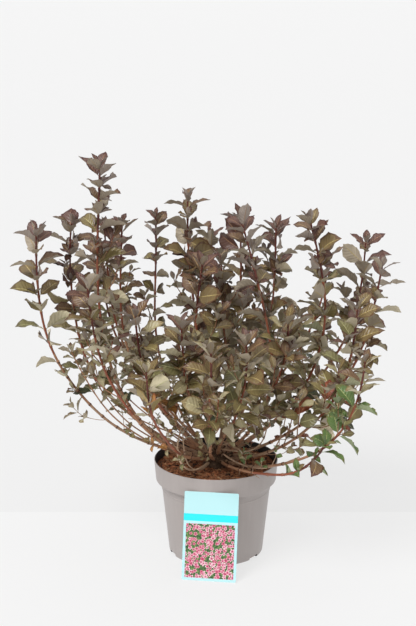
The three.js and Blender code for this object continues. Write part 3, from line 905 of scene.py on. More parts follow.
@dataclass(frozen=True)
class LeafPattern:
    """The blade's cut: an ellipse drawn out to a long tip, toothed, folded at its rib and arched."""

    widest: float = 0.48
    shoulder: float = 0.74
    drawn_out: float = 0.36
    tooth: float = 0.05  # a share of the half width
    tooth_lean: float = 0.18
    thickness: float = 0.4
    rib_thickness: float = 1.0
    rib: float = 0.045
    late_bend: float = 1.3
    ripples: float = 15.0  # of the margin, in radians along the blade
    ripple_lag: float = 2.0  # of one margin behind the other
    ripple_height: float = 0.13
    rows: int = 10
    test_rows: Series = (0.3, 0.55, 0.8, 1.0)  # where a leaf's room is tested
    stalk_radius: float = 0.8
    stalk_rings: Series = (0.0, 0.5, 1.0)
    stalk_sides: ClassVar[int] = 4
    samples: int = 64

    @property
    def columns(self) -> Array:
        """Where the blade's lengthwise lines run, as shares of its half width."""
        half = np.array((self.rib, 0.46, 0.84, 1.0))
        return np.concatenate([-half[::-1], half])

    @property
    def inner_rows(self) -> Array:
        """Where the blade's rows run between its base and its tip, as shares of the length."""
        return np.arange(1, self.rows) / self.rows

    def half_width(self, share: Array) -> Array:
        """The blade's outline.

        Args:
            share: Shares of the length.

        Returns:
            The half width at each, from 0 to 1.
        """
        low = np.sin(np.clip(share / self.widest, 0, 1) * math.pi / 2) ** self.shoulder
        out = np.clip((share - self.widest) / (1 - self.widest), 0, 1)
        high = np.cos(out * math.pi / 2) * (1 - self.drawn_out * out**3)
        return np.where(share < self.widest, low, np.maximum(high, 0))

    def surface(self, leaves: list[Leaf], rows: Array, columns: Array) -> tuple[Array, Array]:
        """The upper faces of many leaves.

        Args:
            leaves: The leaves.
            rows: Shares of the length, from 0 to 1.
            columns: Shares of the half width, from -1 to 1.

        Returns:
            The points, by leaf, row and column, and the blade's normal by leaf and row.
        """
        base, along, face = gathered(leaves, "base", "along", "face")
        shape = gathered(leaves, "length", "breadth", "bend", "fold", "curl", "twist", "wave")
        length, breadth, bend, fold, curl, twist, wave = (values[:, None] for values in shape)
        across = np.cross(face, along)
        share = np.linspace(0, 1, self.samples + 1)
        angle = bend * share**self.late_bend
        ahead = np.cumsum(np.cos(angle), axis=1) / self.samples
        down = np.cumsum(np.sin(angle), axis=1) / self.samples
        pick = np.rint(rows * self.samples).astype(int)
        angle = angle[:, pick, None]
        ahead = (ahead[:, pick] - ahead[:, :1])[..., None]
        down = (down[:, pick] - down[:, :1])[..., None]
        middle = base[:, None] + length[..., None] * (ahead * along[:, None] - down * face[:, None])
        tangent = np.cos(angle) * along[:, None] - np.sin(angle) * face[:, None]
        normal = np.sin(angle) * along[:, None] + np.cos(angle) * face[:, None]
        turn = (twist * rows)[..., None]
        beside = np.cos(turn) * across[:, None] + np.sin(turn) * normal
        normal = np.cos(turn) * normal - np.sin(turn) * across[:, None]

        half = self.half_width(rows) * breadth * length / 2
        size = np.abs(columns)
        edge = size == 1
        out = half[..., None] * columns * np.cos(fold)[..., None]
        lift = half[..., None] * (size * np.sin(fold)[..., None] - curl[..., None] * size**2)
        lag = self.ripple_lag * (columns > 0)
        sway = np.sin((rows * self.ripples)[None, :, None] + wave[..., None] + lag)
        lift = lift + half[..., None] * self.ripple_height * sway * size**2
        proud = (np.arange(len(rows)) % 2)[:, None] * edge
        out = out * (1 + self.tooth * proud)
        shift = half[..., None] * self.tooth_lean * proud
        points = middle[:, :, None] + out[..., None] * beside[:, :, None]
        points = points + lift[..., None] * normal[:, :, None] + shift[..., None] * tangent[:, :, None]
        return points, normal

    def outline(self, leaf: Leaf) -> Array:
        """A few points on a leaf's rib and margins, by row and column. The last row is the tip."""
        points, _ = self.surface([leaf], np.array(self.test_rows), np.array((-1.0, 0.0, 1.0)))
        return points[0]

    def closed_blade(self) -> tuple[list[Array], list[Array]]:
        """The surface of one leaf, blade and stalk, over the points that points() gives.

        Returns:
            The faces, and the slot of each.
        """
        rows, columns = self.rows - 1, len(self.columns)
        upper = np.arange(rows * columns).reshape(rows, columns)
        lower = upper.copy()
        inner = columns - 2
        lower[:, 1:-1] = rows * columns + np.arange(rows * inner).reshape(rows, inner)
        base = rows * columns + rows * inner
        tip = base + 1
        quads = [
            np.stack([upper[:-1, :-1], upper[1:, :-1], upper[1:, 1:], upper[:-1, 1:]], axis=-1),
            np.stack([lower[:-1, :-1], lower[:-1, 1:], lower[1:, 1:], lower[1:, :-1]], axis=-1),
        ]
        ones = np.ones(columns - 1, dtype=int)
        fans = [
            np.stack([base * ones, upper[0, :-1], upper[0, 1:]], axis=-1),
            np.stack([tip * ones, upper[-1, 1:], upper[-1, :-1]], axis=-1),
            np.stack([base * ones, lower[0, 1:], lower[0, :-1]], axis=-1),
            np.stack([tip * ones, lower[-1, :-1], lower[-1, 1:]], axis=-1),
        ]
        rib = columns // 2 - 1
        strip = LeafFace.UPPER * ones
        strip[[0, -1]] = LeafFace.MARGIN
        strip[rib] = LeafFace.RIB
        above = np.tile(strip, (rows - 1, 1))
        above[-1:] = LeafFace.MARGIN
        above[:, rib] = LeafFace.RIB
        under = np.full((rows - 1, columns - 1), LeafFace.UNDER)
        under[:, rib] = LeafFace.RIB
        slots = [above.ravel(), under.ravel(), strip, LeafFace.MARGIN * ones]
        slots += [LeafFace.UNDER * ones, LeafFace.UNDER * ones]
        rings = len(self.stalk_rings)
        _, stalk = tube(np.outer(np.arange(rings), UP), np.ones(rings), self.stalk_sides)
        faces = [sheet.reshape(-1, 4) for sheet in quads] + fans + [group + tip + 1 for group in stalk]
        slots += [np.full(len(group), LeafFace.RIB) for group in stalk]
        return faces, slots

    def marks(self) -> Array:
        """Where each point of points() lies on its leaf.

        Returns:
            The shares along and across the blade. On the stalk both are nought.
        """
        upper = np.stack(np.meshgrid(self.inner_rows, self.columns, indexing="ij"), axis=-1)
        lower = upper[:, 1:-1].reshape(-1, 2)
        stalk = np.zeros((len(self.stalk_rings) * self.stalk_sides + 2, 2))
        return np.concatenate([upper.reshape(-1, 2), lower, [(0, 0), (1, 0)], stalk])

    def points(self, leaves: list[Leaf]) -> Array:
        """The points of many leaves, blade and stalk.

        Returns:
            The points, by leaf: the upper face, the underside, base and tip, and the stalk.
        """
        rows, columns = self.inner_rows, self.columns
        upper, normal = self.surface(leaves, rows, columns)
        depth = np.where(np.abs(columns) <= self.rib, self.rib_thickness, self.thickness)[1:-1]
        taper = np.minimum(1, 4 * self.half_width(rows))
        lower = upper[:, :, 1:-1] - (taper[:, None] * depth)[None, ..., None] * normal[:, :, None]
        ends, _ = self.surface(leaves, np.array((0.0, 1.0)), np.array((0.0,)))
        root, base, along, face, length = gathered(leaves, "root", "base", "along", "face", "length")
        across = np.cross(face, along)
        radius = self.stalk_radius * length[:, None] / STANDARD_LEAF
        end = base + 2 * radius * along
        stalk = []
        for share in self.stalk_rings:
            middle = root + (end - root) * share
            stalk += [middle + radius * away for away in (across, face, -across, -face)]
        stalk = np.stack([*stalk, root, end], axis=1)
        count = len(leaves)
        return np.concatenate([*(part.reshape(count, -1, 3) for part in (upper, lower, ends)), stalk], axis=1)


PAIR = (0.0, math.pi)  # the turns of a node's two leaves
FOLIAGE = [f"{stem.name}_foliage" for stem in STEMS]


@dataclass
class Shoot:
    """A stem or a side shoot: its course, its thickness at foot and tip, and its nodes."""

    curve: Curve
    nodes: Array  # shares of the length, from the tip down
    turn: float  # of the youngest pair of leaves round the shoot, in radians
    radius: float
    tip_radius: float
    stem: int
    rank: int = 0  # 0 for a stem, 1 for a side shoot, 2 for a spur or a twig
    bark: Bark | None = None  # where it is the same from foot to tip


@dataclass(frozen=True)
class Ageing:
    """An angle that opens from pair to pair down a shoot, in degrees."""

    youngest: float
    gain: float
    pace: float  # how many pairs it takes for most of the gain
    spread: float  # how far single leaves stray from it


@dataclass
class Shrub:
    """The plant above its crown: stems, side shoots and leaves.

    It grows by the rule of the solids: every stem arches out from the crown, carries its leaves
    in opposite pairs, each a quarter turn on from the last, and keeps to the space that lies
    nearer to it than to any other stem. Here the rule is carried on to finer side shoots.
    """

    seat: float = 207.0
    foot_spread: float = 48.0
    foot_rise: float = 18.0
    foot_lift: float = 34.0
    tip_drop: float = 28.0
    tip_pull: float = 0.46
    foot_radius: float = 4.0
    bough_share: float = 0.3
    bough_radius: float = 3.0
    young_share: float = 0.93
    young_radius: float = 2.2
    tip_radius: float = 1.5
    wander: float = 2.0

    bud_gap: float = 3.0  # the youngest internode
    gap_growth: float = 2.15
    young_gap: float = 26.0
    gap_step: float = 3.0
    old_gap: float = 41.0
    bare_reach: Span = (150.0, 330.0)
    bare_share: Span = (0.35, 0.47)  # bare wood on stems of that reach
    sparse_share: float = 0.11  # of thinned leaves above it
    sparse_chance: float = 0.5
    sparse_size: float = 0.84
    low_height: float = 345.0  # few leaves are left in the shade below
    low_reach: float = 235.0
    low_chance: float = 0.8
    low_size: float = 0.6
    fallen_share: float = 0.2  # of the leaves of side shoots
    low_curl: float = 60.0  # more bend for a low leaf, as it dries

    shoot_from: float = 0.2
    shoot_to: float = 0.74
    bushy_from: float = 1.2
    chance_reach: Span = (200.0, 400.0)
    shoot_chance: Span = (0.5, 0.27)  # for stems of that reach
    shoot_low: float = 165.0  # length of side shoots low and high on a stem
    shoot_high: float = 60.0
    shoot_spread: float = 0.35
    shoot_sizes: Series = (1.0, 0.75, 0.55)
    shoot_angle: float = 48.0
    shoot_radius: float = 1.6
    shoot_tip: float = 0.8
    shoot_margin: float = -3.0
    shoot_reach: float = 10.0
    shoot_bare: float = 0.2

    bow_bare: float = 0.66
    bow_tip: float = 1.2
    straw_share: float = 0.4
    twigs: int = 4
    twig_share: Span = (0.06, 0.34)
    twig_length: Span = (45.0, 130.0)
    spur_from: float = 0.45
    spur_pairs: int = 3  # the youngest, which bear no spurs
    spur_chance: float = 0.5
    spur_length: float = 14.0

    leaf_length: float = 61.0
    rank_length: Series = (1.11, 0.86, 0.7)  # leaves on stems, side shoots and spurs
    growth_pace: float = 1.5
    opening: Ageing = Ageing(22.0, 34.0, 1.6, 12.0)
    bending: Ageing = Ageing(20.0, 20.0, 3.0, 18.0)
    droop: float = 0.15
    light_turn: Span = (0.1, 0.65)  # how far a leaf turns its face up to the light
    stray_pairs: int = 3  # the youngest, never turned over
    stray_share: float = 0.1
    stray_roll: Span = (60.0, 130.0)
    leaf_breadth: float = 0.65
    fold: float = 24.0
    curl: float = 0.1
    stalk: float = 3.5
    tries: tuple[Span, ...] = (  # sizes and turns that a leaf tries for want of room
        (1.0, 0.0), (1.0, 0.5), (1.0, -0.5), (0.84, 0.0), (0.84, 0.5), (0.84, -0.5), (0.68, 0.2)
    )

    accent_below: float = 430.0
    accent_share: dict[Tint, float] = field(
        default_factory=lambda: {Tint.FRESH_GREEN: 0.7, Tint.AMBER: 0.5, Tint.RUST: 0.2}
    )
    sage_share: float = 0.55
    low_band: Span = (300.0, 420.0)
    age_start: float = 0.12
    age_gain: Span = (0.42, 5.0)  # from pair to pair down a shoot, and its pace
    age_low: float = 0.4

    leaf_reach: float = 72.0
    leaf_top: float = 946.0
    leaf_room: float = 7.5  # kept between the middles of two leaves
    leaf_overlap: float = 9.0  # how far a leaf may cross into the next stem's space
    pot_top: float = 240.0
    hang_reach: float = 212.0  # leaves hang below the pot's top only beyond this
    hang_floor: float = 212.0
    space_samples: int = 48

    sides: int = 8
    ring_gap: float = 8.0
    node_rings: Series = (-4.0, -1.6, 0.0, 1.6, 4.0)
    node_swell: float = 0.34
    node_width: float = 3.2
    stem_barks: Series = (120.0, 330.0, 500.0)  # from the tip to where the bark ages
    shoot_barks: Series = (40.0, 120.0, 400.0)
    bark_full: float = 600.0
    scar_width: float = 1.7
    knob_to: float = 0.62
    dead_share: float = 0.16

    pattern: LeafPattern = field(default_factory=LeafPattern)

    def __post_init__(self) -> None:
        """Lays out the stems and the space of each."""
        self.random = np.random.default_rng(SEED)
        self.curves = [self.stem_curve(stem) for stem in STEMS]
        shares = np.linspace(0, 1, self.space_samples + 1)
        self.spines = np.array([curve.at(shares) for curve in self.curves])
        self.shoots: list[Shoot] = []
        self.leaves: list[Leaf] = []
        self.middles = np.empty((0, 3))

    def stem_curve(self, stem: Stem) -> Curve:
        """The course of a stem, from the crown to its tip."""
        steep = stem.rise / 90
        out, away = heading(stem.azimuth), heading(stem.foot)
        foot_height = self.seat + self.foot_rise + self.foot_lift * steep
        foot = away * self.foot_spread * (1 - steep) + UP * foot_height
        tip = out * stem.reach + UP * (stem.height - self.tip_drop)
        span = np.linalg.norm(tip - foot)
        rise, lean = math.radians(stem.rise), math.radians(stem.lean)
        leaves = away * math.cos(rise) + UP * math.sin(rise)
        arrives = out * math.sin(lean) + UP * math.cos(lean)
        handles = [foot, foot + leaves * stem.pull * span, tip - arrives * self.tip_pull * span, tip]
        return Curve(handles, self.wander, stem.azimuth)

    def allows(self, points: Array, own: int, margin: float, beyond: float) -> bool:
        """Whether points lie in a stem's own space, within its reach and clear of the pot.

        Args:
            points: The points.
            own: The stem's number.
            margin: How far inside its space they have to lie; below nought they may cross out of it.
            beyond: How far past the stem's reach they may lie.

        Returns:
            Whether all of them do.
        """
        level = np.hypot(points[:, 0], points[:, 1])
        if (level > STEMS[own].reach + beyond).any() or points[:, 2].max() > self.leaf_top:
            return False
        floor = np.where(level < self.hang_reach, self.pot_top, self.hang_floor)
        if (points[:, 2] < floor).any():
            return False
        gaps = np.linalg.norm(points[:, None, None] - self.spines[None], axis=-1).min(axis=2)
        mine = gaps[:, own].copy()
        gaps[:, own] = np.inf
        return bool((gaps.min(axis=1) > mine + 2 * margin).all())

    def allows_shoot(self, curve: Curve, own: int, margin: float) -> bool:
        """Whether the outer part of a shoot lies in a stem's own space, by this margin."""
        return self.allows(curve.at(np.linspace(0.3, 1, 6)), own, margin, self.shoot_reach)

    def nodes(self, length: float, lowest: float, scale: float = 1.0) -> Array:
        """The places at which a shoot's leaves stand.

        Args:
            length: The shoot's length.
            lowest: The share of it, from its foot, that has none.
            scale: How long its young internodes are, against a stem's.

        Returns:
            Shares of its length, from the tip down.
        """
        places, at, gap = [], self.bud_gap * scale, self.bud_gap * scale
        while at < length * (1 - lowest):
            places.append(1 - at / length)
            gap = min(gap * self.gap_growth, max(self.young_gap * scale, gap + self.gap_step), self.old_gap)
            at += gap
        return np.array(places)

    def spread(self, size: float) -> float:
        """A random amount, up to this size either way."""
        return float(self.random.uniform(-size, size))

    def between(self, low: float, high: float) -> float:
        """A random amount in a range."""
        return float(self.random.uniform(low, high))

    def leaf_turn(self, shoot: Shoot, index: int, half: float, spread: float) -> float:
        """The direction round a shoot, in radians, of one of a pair of its leaves, which may stray."""
        return shoot.turn + index * math.pi / 2 + half + self.spread(spread)

    def grow(self) -> None:
        """Grows every stem, then its side shoots, then their leaves."""
        for own, curve in enumerate(self.curves):
            nodes = self.nodes(curve.length, 0.06)
            stem = Shoot(curve, nodes, self.between(0, math.pi), self.foot_radius, self.tip_radius, own)
            self.shoots.append(stem)
            self.grow_side_shoots(stem)
            self.grow_spurs(stem)
            self.grow_twigs(stem)
        for bow in BOWS:
            own = next(i for i, stem in enumerate(STEMS) if stem.name == bow.stem)
            handles = [np.array(handle, dtype=float) for handle in bow.handles]
            curve = Curve(handles, 1.5, own)
            nodes = self.nodes(curve.length, self.bow_bare)
            self.shoots.append(Shoot(curve, nodes, own, bow.radius, self.bow_tip, own, 2, bow.bark))
        for shoot in self.shoots:
            self.grow_leaves(shoot)
        LOG.info("%d shoots, %d leaves", len(self.shoots), len(self.leaves))

    def axils(self, parent: Shoot, bearing: Array, chance: float) -> Iterator[Span]:
        """The leaf axils of a stem that side growth starts from.

        Args:
            parent: The stem.
            bearing: Whether each of its nodes may bear any.
            chance: The chance of it in each axil there.

        Yields:
            The axil's share of the stem's length, and its direction round the stem in radians.
        """
        for index in np.flatnonzero(bearing):
            for half in PAIR:
                if self.random.random() <= chance:
                    yield parent.nodes[index], self.leaf_turn(parent, index, half, 0.3)

    def grow_side_shoots(self, parent: Shoot) -> None:
        """Grows side shoots from the axils of a stem's leaves, where they find room."""
        stem = STEMS[parent.stem]
        chance = float(np.interp(stem.reach, self.chance_reach, self.shoot_chance)) * stem.bushy
        lowest = max(self.shoot_from, self.bare(stem) - 0.12)
        highest = self.shoot_to + 0.1 * (stem.bushy > self.bushy_from)
        bearing = (parent.nodes > lowest) & (parent.nodes < highest)
        for share, turn in self.axils(parent, bearing, chance):
            place = (share - self.shoot_from) / (self.shoot_to - self.shoot_from)
            length = self.shoot_low + (self.shoot_high - self.shoot_low) * place
            length *= 1 + self.spread(self.shoot_spread)
            for size in self.shoot_sizes:
                curve = self.shoot_curve(parent.curve, share, turn, length * size)
                if self.allows_shoot(curve, parent.stem, self.shoot_margin):
                    nodes = self.nodes(curve.length, self.shoot_bare, 0.85)
                    girth = self.shoot_radius * (0.7 + 0.3 * size)
                    self.shoots.append(Shoot(curve, nodes, turn, girth, self.shoot_tip, parent.stem, 1))
                    break

    def grow_spurs(self, parent: Shoot) -> None:
        """Grows leafy spurs, a few millimetres long, from the axils of a stem's upper leaves."""
        chance = self.spur_chance * min(1.0, STEMS[parent.stem].bushy)
        bearing = parent.nodes >= self.spur_from
        bearing[: self.spur_pairs] = False
        for share, turn in self.axils(parent, bearing, chance):
            length = self.spur_length * (1 + self.spread(0.4))
            curve = self.shoot_curve(parent.curve, share, turn, length)
            nodes = np.array((0.95, 0.6))
            self.shoots.append(Shoot(curve, nodes, turn, self.shoot_tip, self.shoot_tip, parent.stem, 2))

    def grow_twigs(self, parent: Shoot) -> None:
        """Grows thin old twigs from the foot of a stem."""
        for _ in range(self.twigs):
            share, turn = self.between(*self.twig_share), self.between(0, 2 * math.pi)
            curve = self.shoot_curve(parent.curve, share, turn, self.between(*self.twig_length))
            if self.allows_shoot(curve, parent.stem, -self.leaf_overlap):
                nodes = self.nodes(curve.length, 0.4)
                bark = Bark.STRAW if self.random.random() < self.straw_share else Bark.OLD
                twig = Shoot(curve, nodes, turn, self.shoot_tip, 0.5, parent.stem, 2, bark)
                self.shoots.append(twig)

    def shoot_curve(self, curve: Curve, share: float, turn: float, length: float) -> Curve:
        """The course of a side shoot: out at an angle, then bending up.

        Args:
            curve: The course of what it grows on.
            share: Where it starts, along that.
            turn: Its direction round that, in radians.
            length: Its length.

        Returns:
            Its course.
        """
        tangent = curve.along(share)
        angle = math.radians(self.shoot_angle + self.spread(8))
        away = tangent * math.cos(angle) + side_of(tangent, turn) * math.sin(angle)
        start = curve.at(share)
        middle = start + away * length / 2
        end = middle + unit(away * 0.4 + UP * 0.6) * length / 2
        return Curve([start, middle, end], 0.8, turn)

    def bare(self, stem: Stem) -> float:
        """The share of a stem, from its foot, that has no leaves left."""
        usual = float(np.interp(stem.reach, self.bare_reach, self.bare_share))
        return usual if stem.bare is None else stem.bare

    def grow_leaves(self, shoot: Shoot) -> None:
        """Grows a shoot's pairs of leaves, the youngest first."""
        stem = STEMS[shoot.stem]
        lowest = self.bare(stem) if shoot.rank == 0 else 0.0
        full = self.leaf_length * self.rank_length[shoot.rank] * stem.leafy
        for index, share in enumerate(shoot.nodes):
            if share < lowest:
                break
            x, y, z = shoot.curve.at(share)
            low = z < self.low_height and math.hypot(x, y) < self.low_reach
            sparse = low or shoot.rank == 0 and share < lowest + self.sparse_share
            chance = self.low_chance if low else self.sparse_chance
            size = self.low_size if low else self.sparse_size if sparse else 1.0
            for half in PAIR:
                if sparse and self.random.random() > chance:
                    continue
                if shoot.rank == 1 and self.random.random() < self.fallen_share:
                    continue
                turn = self.leaf_turn(shoot, index, half, 0.24)
                length = full * eased(index + 1.0, self.growth_pace) * size
                self.grow_leaf(shoot, share, turn, index, length)

    def aged(self, angle: Ageing, index: int) -> float:
        """An angle of one leaf, in degrees, from the number of pairs above it."""
        return angle.youngest + angle.gain * eased(index, angle.pace) + self.spread(angle.spread)

    def grow_leaf(self, shoot: Shoot, share: float, turn: float, index: int, length: float) -> None:
        """Grows one leaf at the first size and turn at which it finds room.

        Args:
            shoot: What it grows on.
            share: Where, along the shoot.
            turn: The direction round the shoot, in radians.
            index: The number of pairs above it.
            length: Its full length.
        """
        tangent, root = shoot.curve.along(share), shoot.curve.at(share)
        opening = math.radians(self.aged(self.opening, index))
        bend = self.aged(self.bending, index)
        if root[2] < self.low_height:
            bend += self.between(0, self.low_curl)
        droop = self.droop * eased(index, 5) * self.between(0, 1.5)
        turned = self.between(*self.light_turn)
        roll = math.radians(self.random.normal(0, 14 + 3 * min(index, 5)))
        if index >= self.stray_pairs and self.random.random() < self.stray_share:
            roll += math.radians(self.between(*self.stray_roll)) * self.random.choice((-1, 1))
        length *= 1 + self.spread(0.13)
        young = 0.8 + 0.2 * min(1, index / 3)
        manner = {
            "breadth": self.leaf_breadth * (1 + self.spread(0.12)) * young,
            "bend": math.radians(bend),
            "fold": math.radians(self.fold + self.spread(10)),
            "curl": self.curl + self.spread(0.16),
            "twist": math.radians(self.spread(24 + 6 * min(index, 6))),
            "wave": self.between(0, 2 * math.pi),
        }
        girth = shoot.radius + (shoot.tip_radius - shoot.radius) * share
        for size, nudge in self.tries:
            side = side_of(tangent, turn + nudge)
            along = unit(tangent * math.cos(opening) + side * math.sin(opening) - UP * droop)
            face = tangent - along * (tangent @ along)
            light = UP - along * along[2]
            face = unit(unit(face) * (1 - turned) + light * turned)
            face = face * math.cos(roll) + np.cross(along, face) * math.sin(roll)
            base = root + along * (girth + self.stalk * length / STANDARD_LEAF)
            leaf = Leaf(root, base, along, face, length * size, **manner)
            outline = self.pattern.outline(leaf)
            if not self.allows(outline.reshape(-1, 3), shoot.stem, -self.leaf_overlap, self.leaf_reach):
                continue
            middles = outline[:-1, 1]
            gaps = np.linalg.norm(middles[:, None] - self.middles[None], axis=-1)
            if gaps.min(initial=np.inf) < self.leaf_room * min(1, length / STANDARD_LEAF):
                continue
            self.middles = np.concatenate([self.middles, middles])
            leaf.tint = self.tint_of(shoot, leaf, index)
            self.leaves.append(leaf)
            return

    def tint_of(self, shoot: Shoot, leaf: Leaf, index: int) -> Tint:
        """Deals a leaf its colour by its age, its height and the stem that it is on.

        Args:
            shoot: What it grows on.
            leaf: The leaf.
            index: The number of pairs above it.

        Returns:
            Its colour.
        """
        stem = STEMS[shoot.stem]
        x, y, z = leaf.base
        if stem.accent and z < self.accent_below and self.random.random() < self.accent_share[stem.accent]:
            return stem.accent
        foot, span = self.low_band
        low = 1 - np.clip((z - foot) / span, 0, 1)
        if self.random.random() < self.sage_share * (low - 0.3):
            return Tint.SAGE
        # Leaves nearer the plant's middle are dealt older, darker greens: partly the greener colour of shaded
        # leaves, partly painted shade inside the crown.
        outer = min(1.0, math.hypot(x, y) / stem.reach)
        gain, pace = self.age_gain
        age = self.age_start + gain * eased(index, pace) + self.age_low * low - 0.1 * outer
        age += float(self.random.normal(0, 0.13))
        return AGES[int(np.clip(age * len(AGES), 0, len(AGES) - 1))]

    def stem_girth(self, shares: Array | float) -> Array:
        """The radius of a stem at these shares of its length, between its nodes."""
        knots = (0.0, self.bough_share, self.young_share, 1.0)
        radii = (self.foot_radius, self.bough_radius, self.young_radius, self.tip_radius)
        return np.interp(shares, knots, radii)

    def girths(self, shoot: Shoot, shares: Array) -> Array:
        """The radius of a shoot, swollen at its nodes.

        Args:
            shoot: The shoot.
            shares: Shares of its length, one for each ring.

        Returns:
            The radius by ring and side.
        """
        if shoot.rank == 0:
            smooth_girth = self.stem_girth(shares)
        else:
            smooth_girth = shoot.radius + (shoot.tip_radius - shoot.radius) * shares
        away = np.abs(shares[:, None] - shoot.nodes[None]) * shoot.curve.length
        swelling = self.node_swell * np.exp(-((away / self.node_width) ** 2)).max(axis=1, initial=0)
        sides = np.arange(self.sides)
        uneven = self.random.normal(0, 1, (len(shares), self.sides))
        ridges = 1 + 0.05 * np.sin(3 * sides + shoot.turn) + 0.04 * uneven
        return (smooth_girth * (1 + swelling))[:, None] * ridges

    def rings(self, shoot: Shoot) -> Array:
        """Shares of the length for a shoot's rings: evenly spaced, and close by each node."""
        length = shoot.curve.length
        even = np.linspace(0, 1, max(4, round(length / self.ring_gap)))
        near = (shoot.nodes[:, None] + np.array(self.node_rings) / length).ravel()
        shares = np.unique(np.clip(np.concatenate([even, near]), 0, 1))
        keep = np.concatenate([[True], np.diff(shares) * length > 0.8])
        return shares[keep]

    def bark_of(self, shoot: Shoot, shares: Array) -> Array:
        """The bark along a shoot.

        Args:
            shoot: The shoot.
            shares: Shares of its length.

        Returns:
            The bark's slot at each.
        """
        length = shoot.curve.length
        limits = np.array(self.shoot_barks if shoot.rank else self.stem_barks)
        limits = limits * (1 + 0.2 * math.sin(5 * shoot.turn + shoot.stem))
        limits = limits * min(1.0, length / self.bark_full)
        slots = Bark.MAROON - np.searchsorted(limits, (1 - shares) * length)
        near = np.abs(shares[:, None] - shoot.nodes[None]).min(axis=1, initial=1) * length
        slots[(near < self.scar_width) & (slots < Bark.RED)] = Bark.SCAR
        if shoot.bark is not None:
            slots[slots != Bark.SCAR] = shoot.bark
        return slots

    def add_shoot(self, patchwork: Patchwork, shoot: Shoot) -> None:
        """Adds the wood of a shoot to a piece."""
        shares = self.rings(shoot)
        path = shoot.curve.at(shares)
        if shoot.rank == 0:
            path[0] -= shoot.curve.along(0) * 7
        points, faces = tube(path, self.girths(shoot, shares), self.sides)
        between, ends = (shares[:-1] + shares[1:]) / 2, np.array((0.0, 1.0))
        slots = [np.repeat(self.bark_of(shoot, places), self.sides) for places in (between, ends)]
        patchwork.add(points, faces, slots)

    def add_knobs(self, patchwork: Patchwork, stem: Shoot) -> None:
        """Adds the buds, scars and dead spurs at the bare nodes of a stem to its piece."""
        for index, share in enumerate(stem.nodes):
            if share > self.knob_to:
                continue
            tangent, root = stem.curve.along(share), stem.curve.at(share)
            girth = float(self.stem_girth(share))
            for half in PAIR:
                side = side_of(tangent, self.leaf_turn(stem, index, half, 0.2))
                knob = DEAD_SPUR if self.random.random() < self.dead_share else BUD
                length = self.between(*knob.length)
                away = unit(tangent * knob.slant + side)
                waist = root + away * (girth + length * 0.4)
                path = np.array([root, waist, root + away * (girth + length)])
                path[2] += UP * length * knob.lift + side * length * self.spread(0.1)
                patchwork.add(*tube(path, np.array(knob.radii), 5), knob.bark)

    def build_wood(self) -> None:
        """Makes each stem a piece of its own, and the side shoots one more."""
        barks = [STEM_BARKS[bark].material() for bark in Bark]
        side_wood = Patchwork()
        for shoot in self.shoots:
            if shoot.rank > 0:
                self.add_shoot(side_wood, shoot)
                continue
            name = STEMS[shoot.stem].name
            wood = Patchwork()
            self.add_shoot(wood, shoot)
            self.add_knobs(wood, shoot)
            settle(wood.build(f"{name}_stem", barks), "stem_bark", f"{name}_bough", f"{name}_foliage")
        settle(side_wood.build("side_shoots", barks), "stem_bark", *FOLIAGE)

    def build_leaves(self) -> None:
        """Makes the leaves of each colour one piece, or several where they are many."""
        faces, slots = self.pattern.closed_blade()
        marks = self.pattern.marks()
        triangles = sum(len(group) * (group.shape[1] - 2) for group in faces)
        most = MOST_TRIANGLES // triangles
        for tint, dress in LEAF_DRESSES.items():
            mine = [leaf for leaf in self.leaves if leaf.tint is tint]
            if not mine:
                continue
            materials = dress.materials(tint)
            for part, first in enumerate(range(0, len(mine), most)):
                patchwork = Patchwork()
                for points in self.pattern.points(mine[first : first + most]):
                    patchwork.add(points, faces, slots, marks)
                name = f"leaves_{tint.value}" + (f"_{part + 1}" if len(mine) > most else "")
                settle(patchwork.build(name, materials), "leaves", *FOLIAGE)
            LOG.info("%s: %d leaves", tint.value, len(mine))


# ---- pot, mulch, crown and card


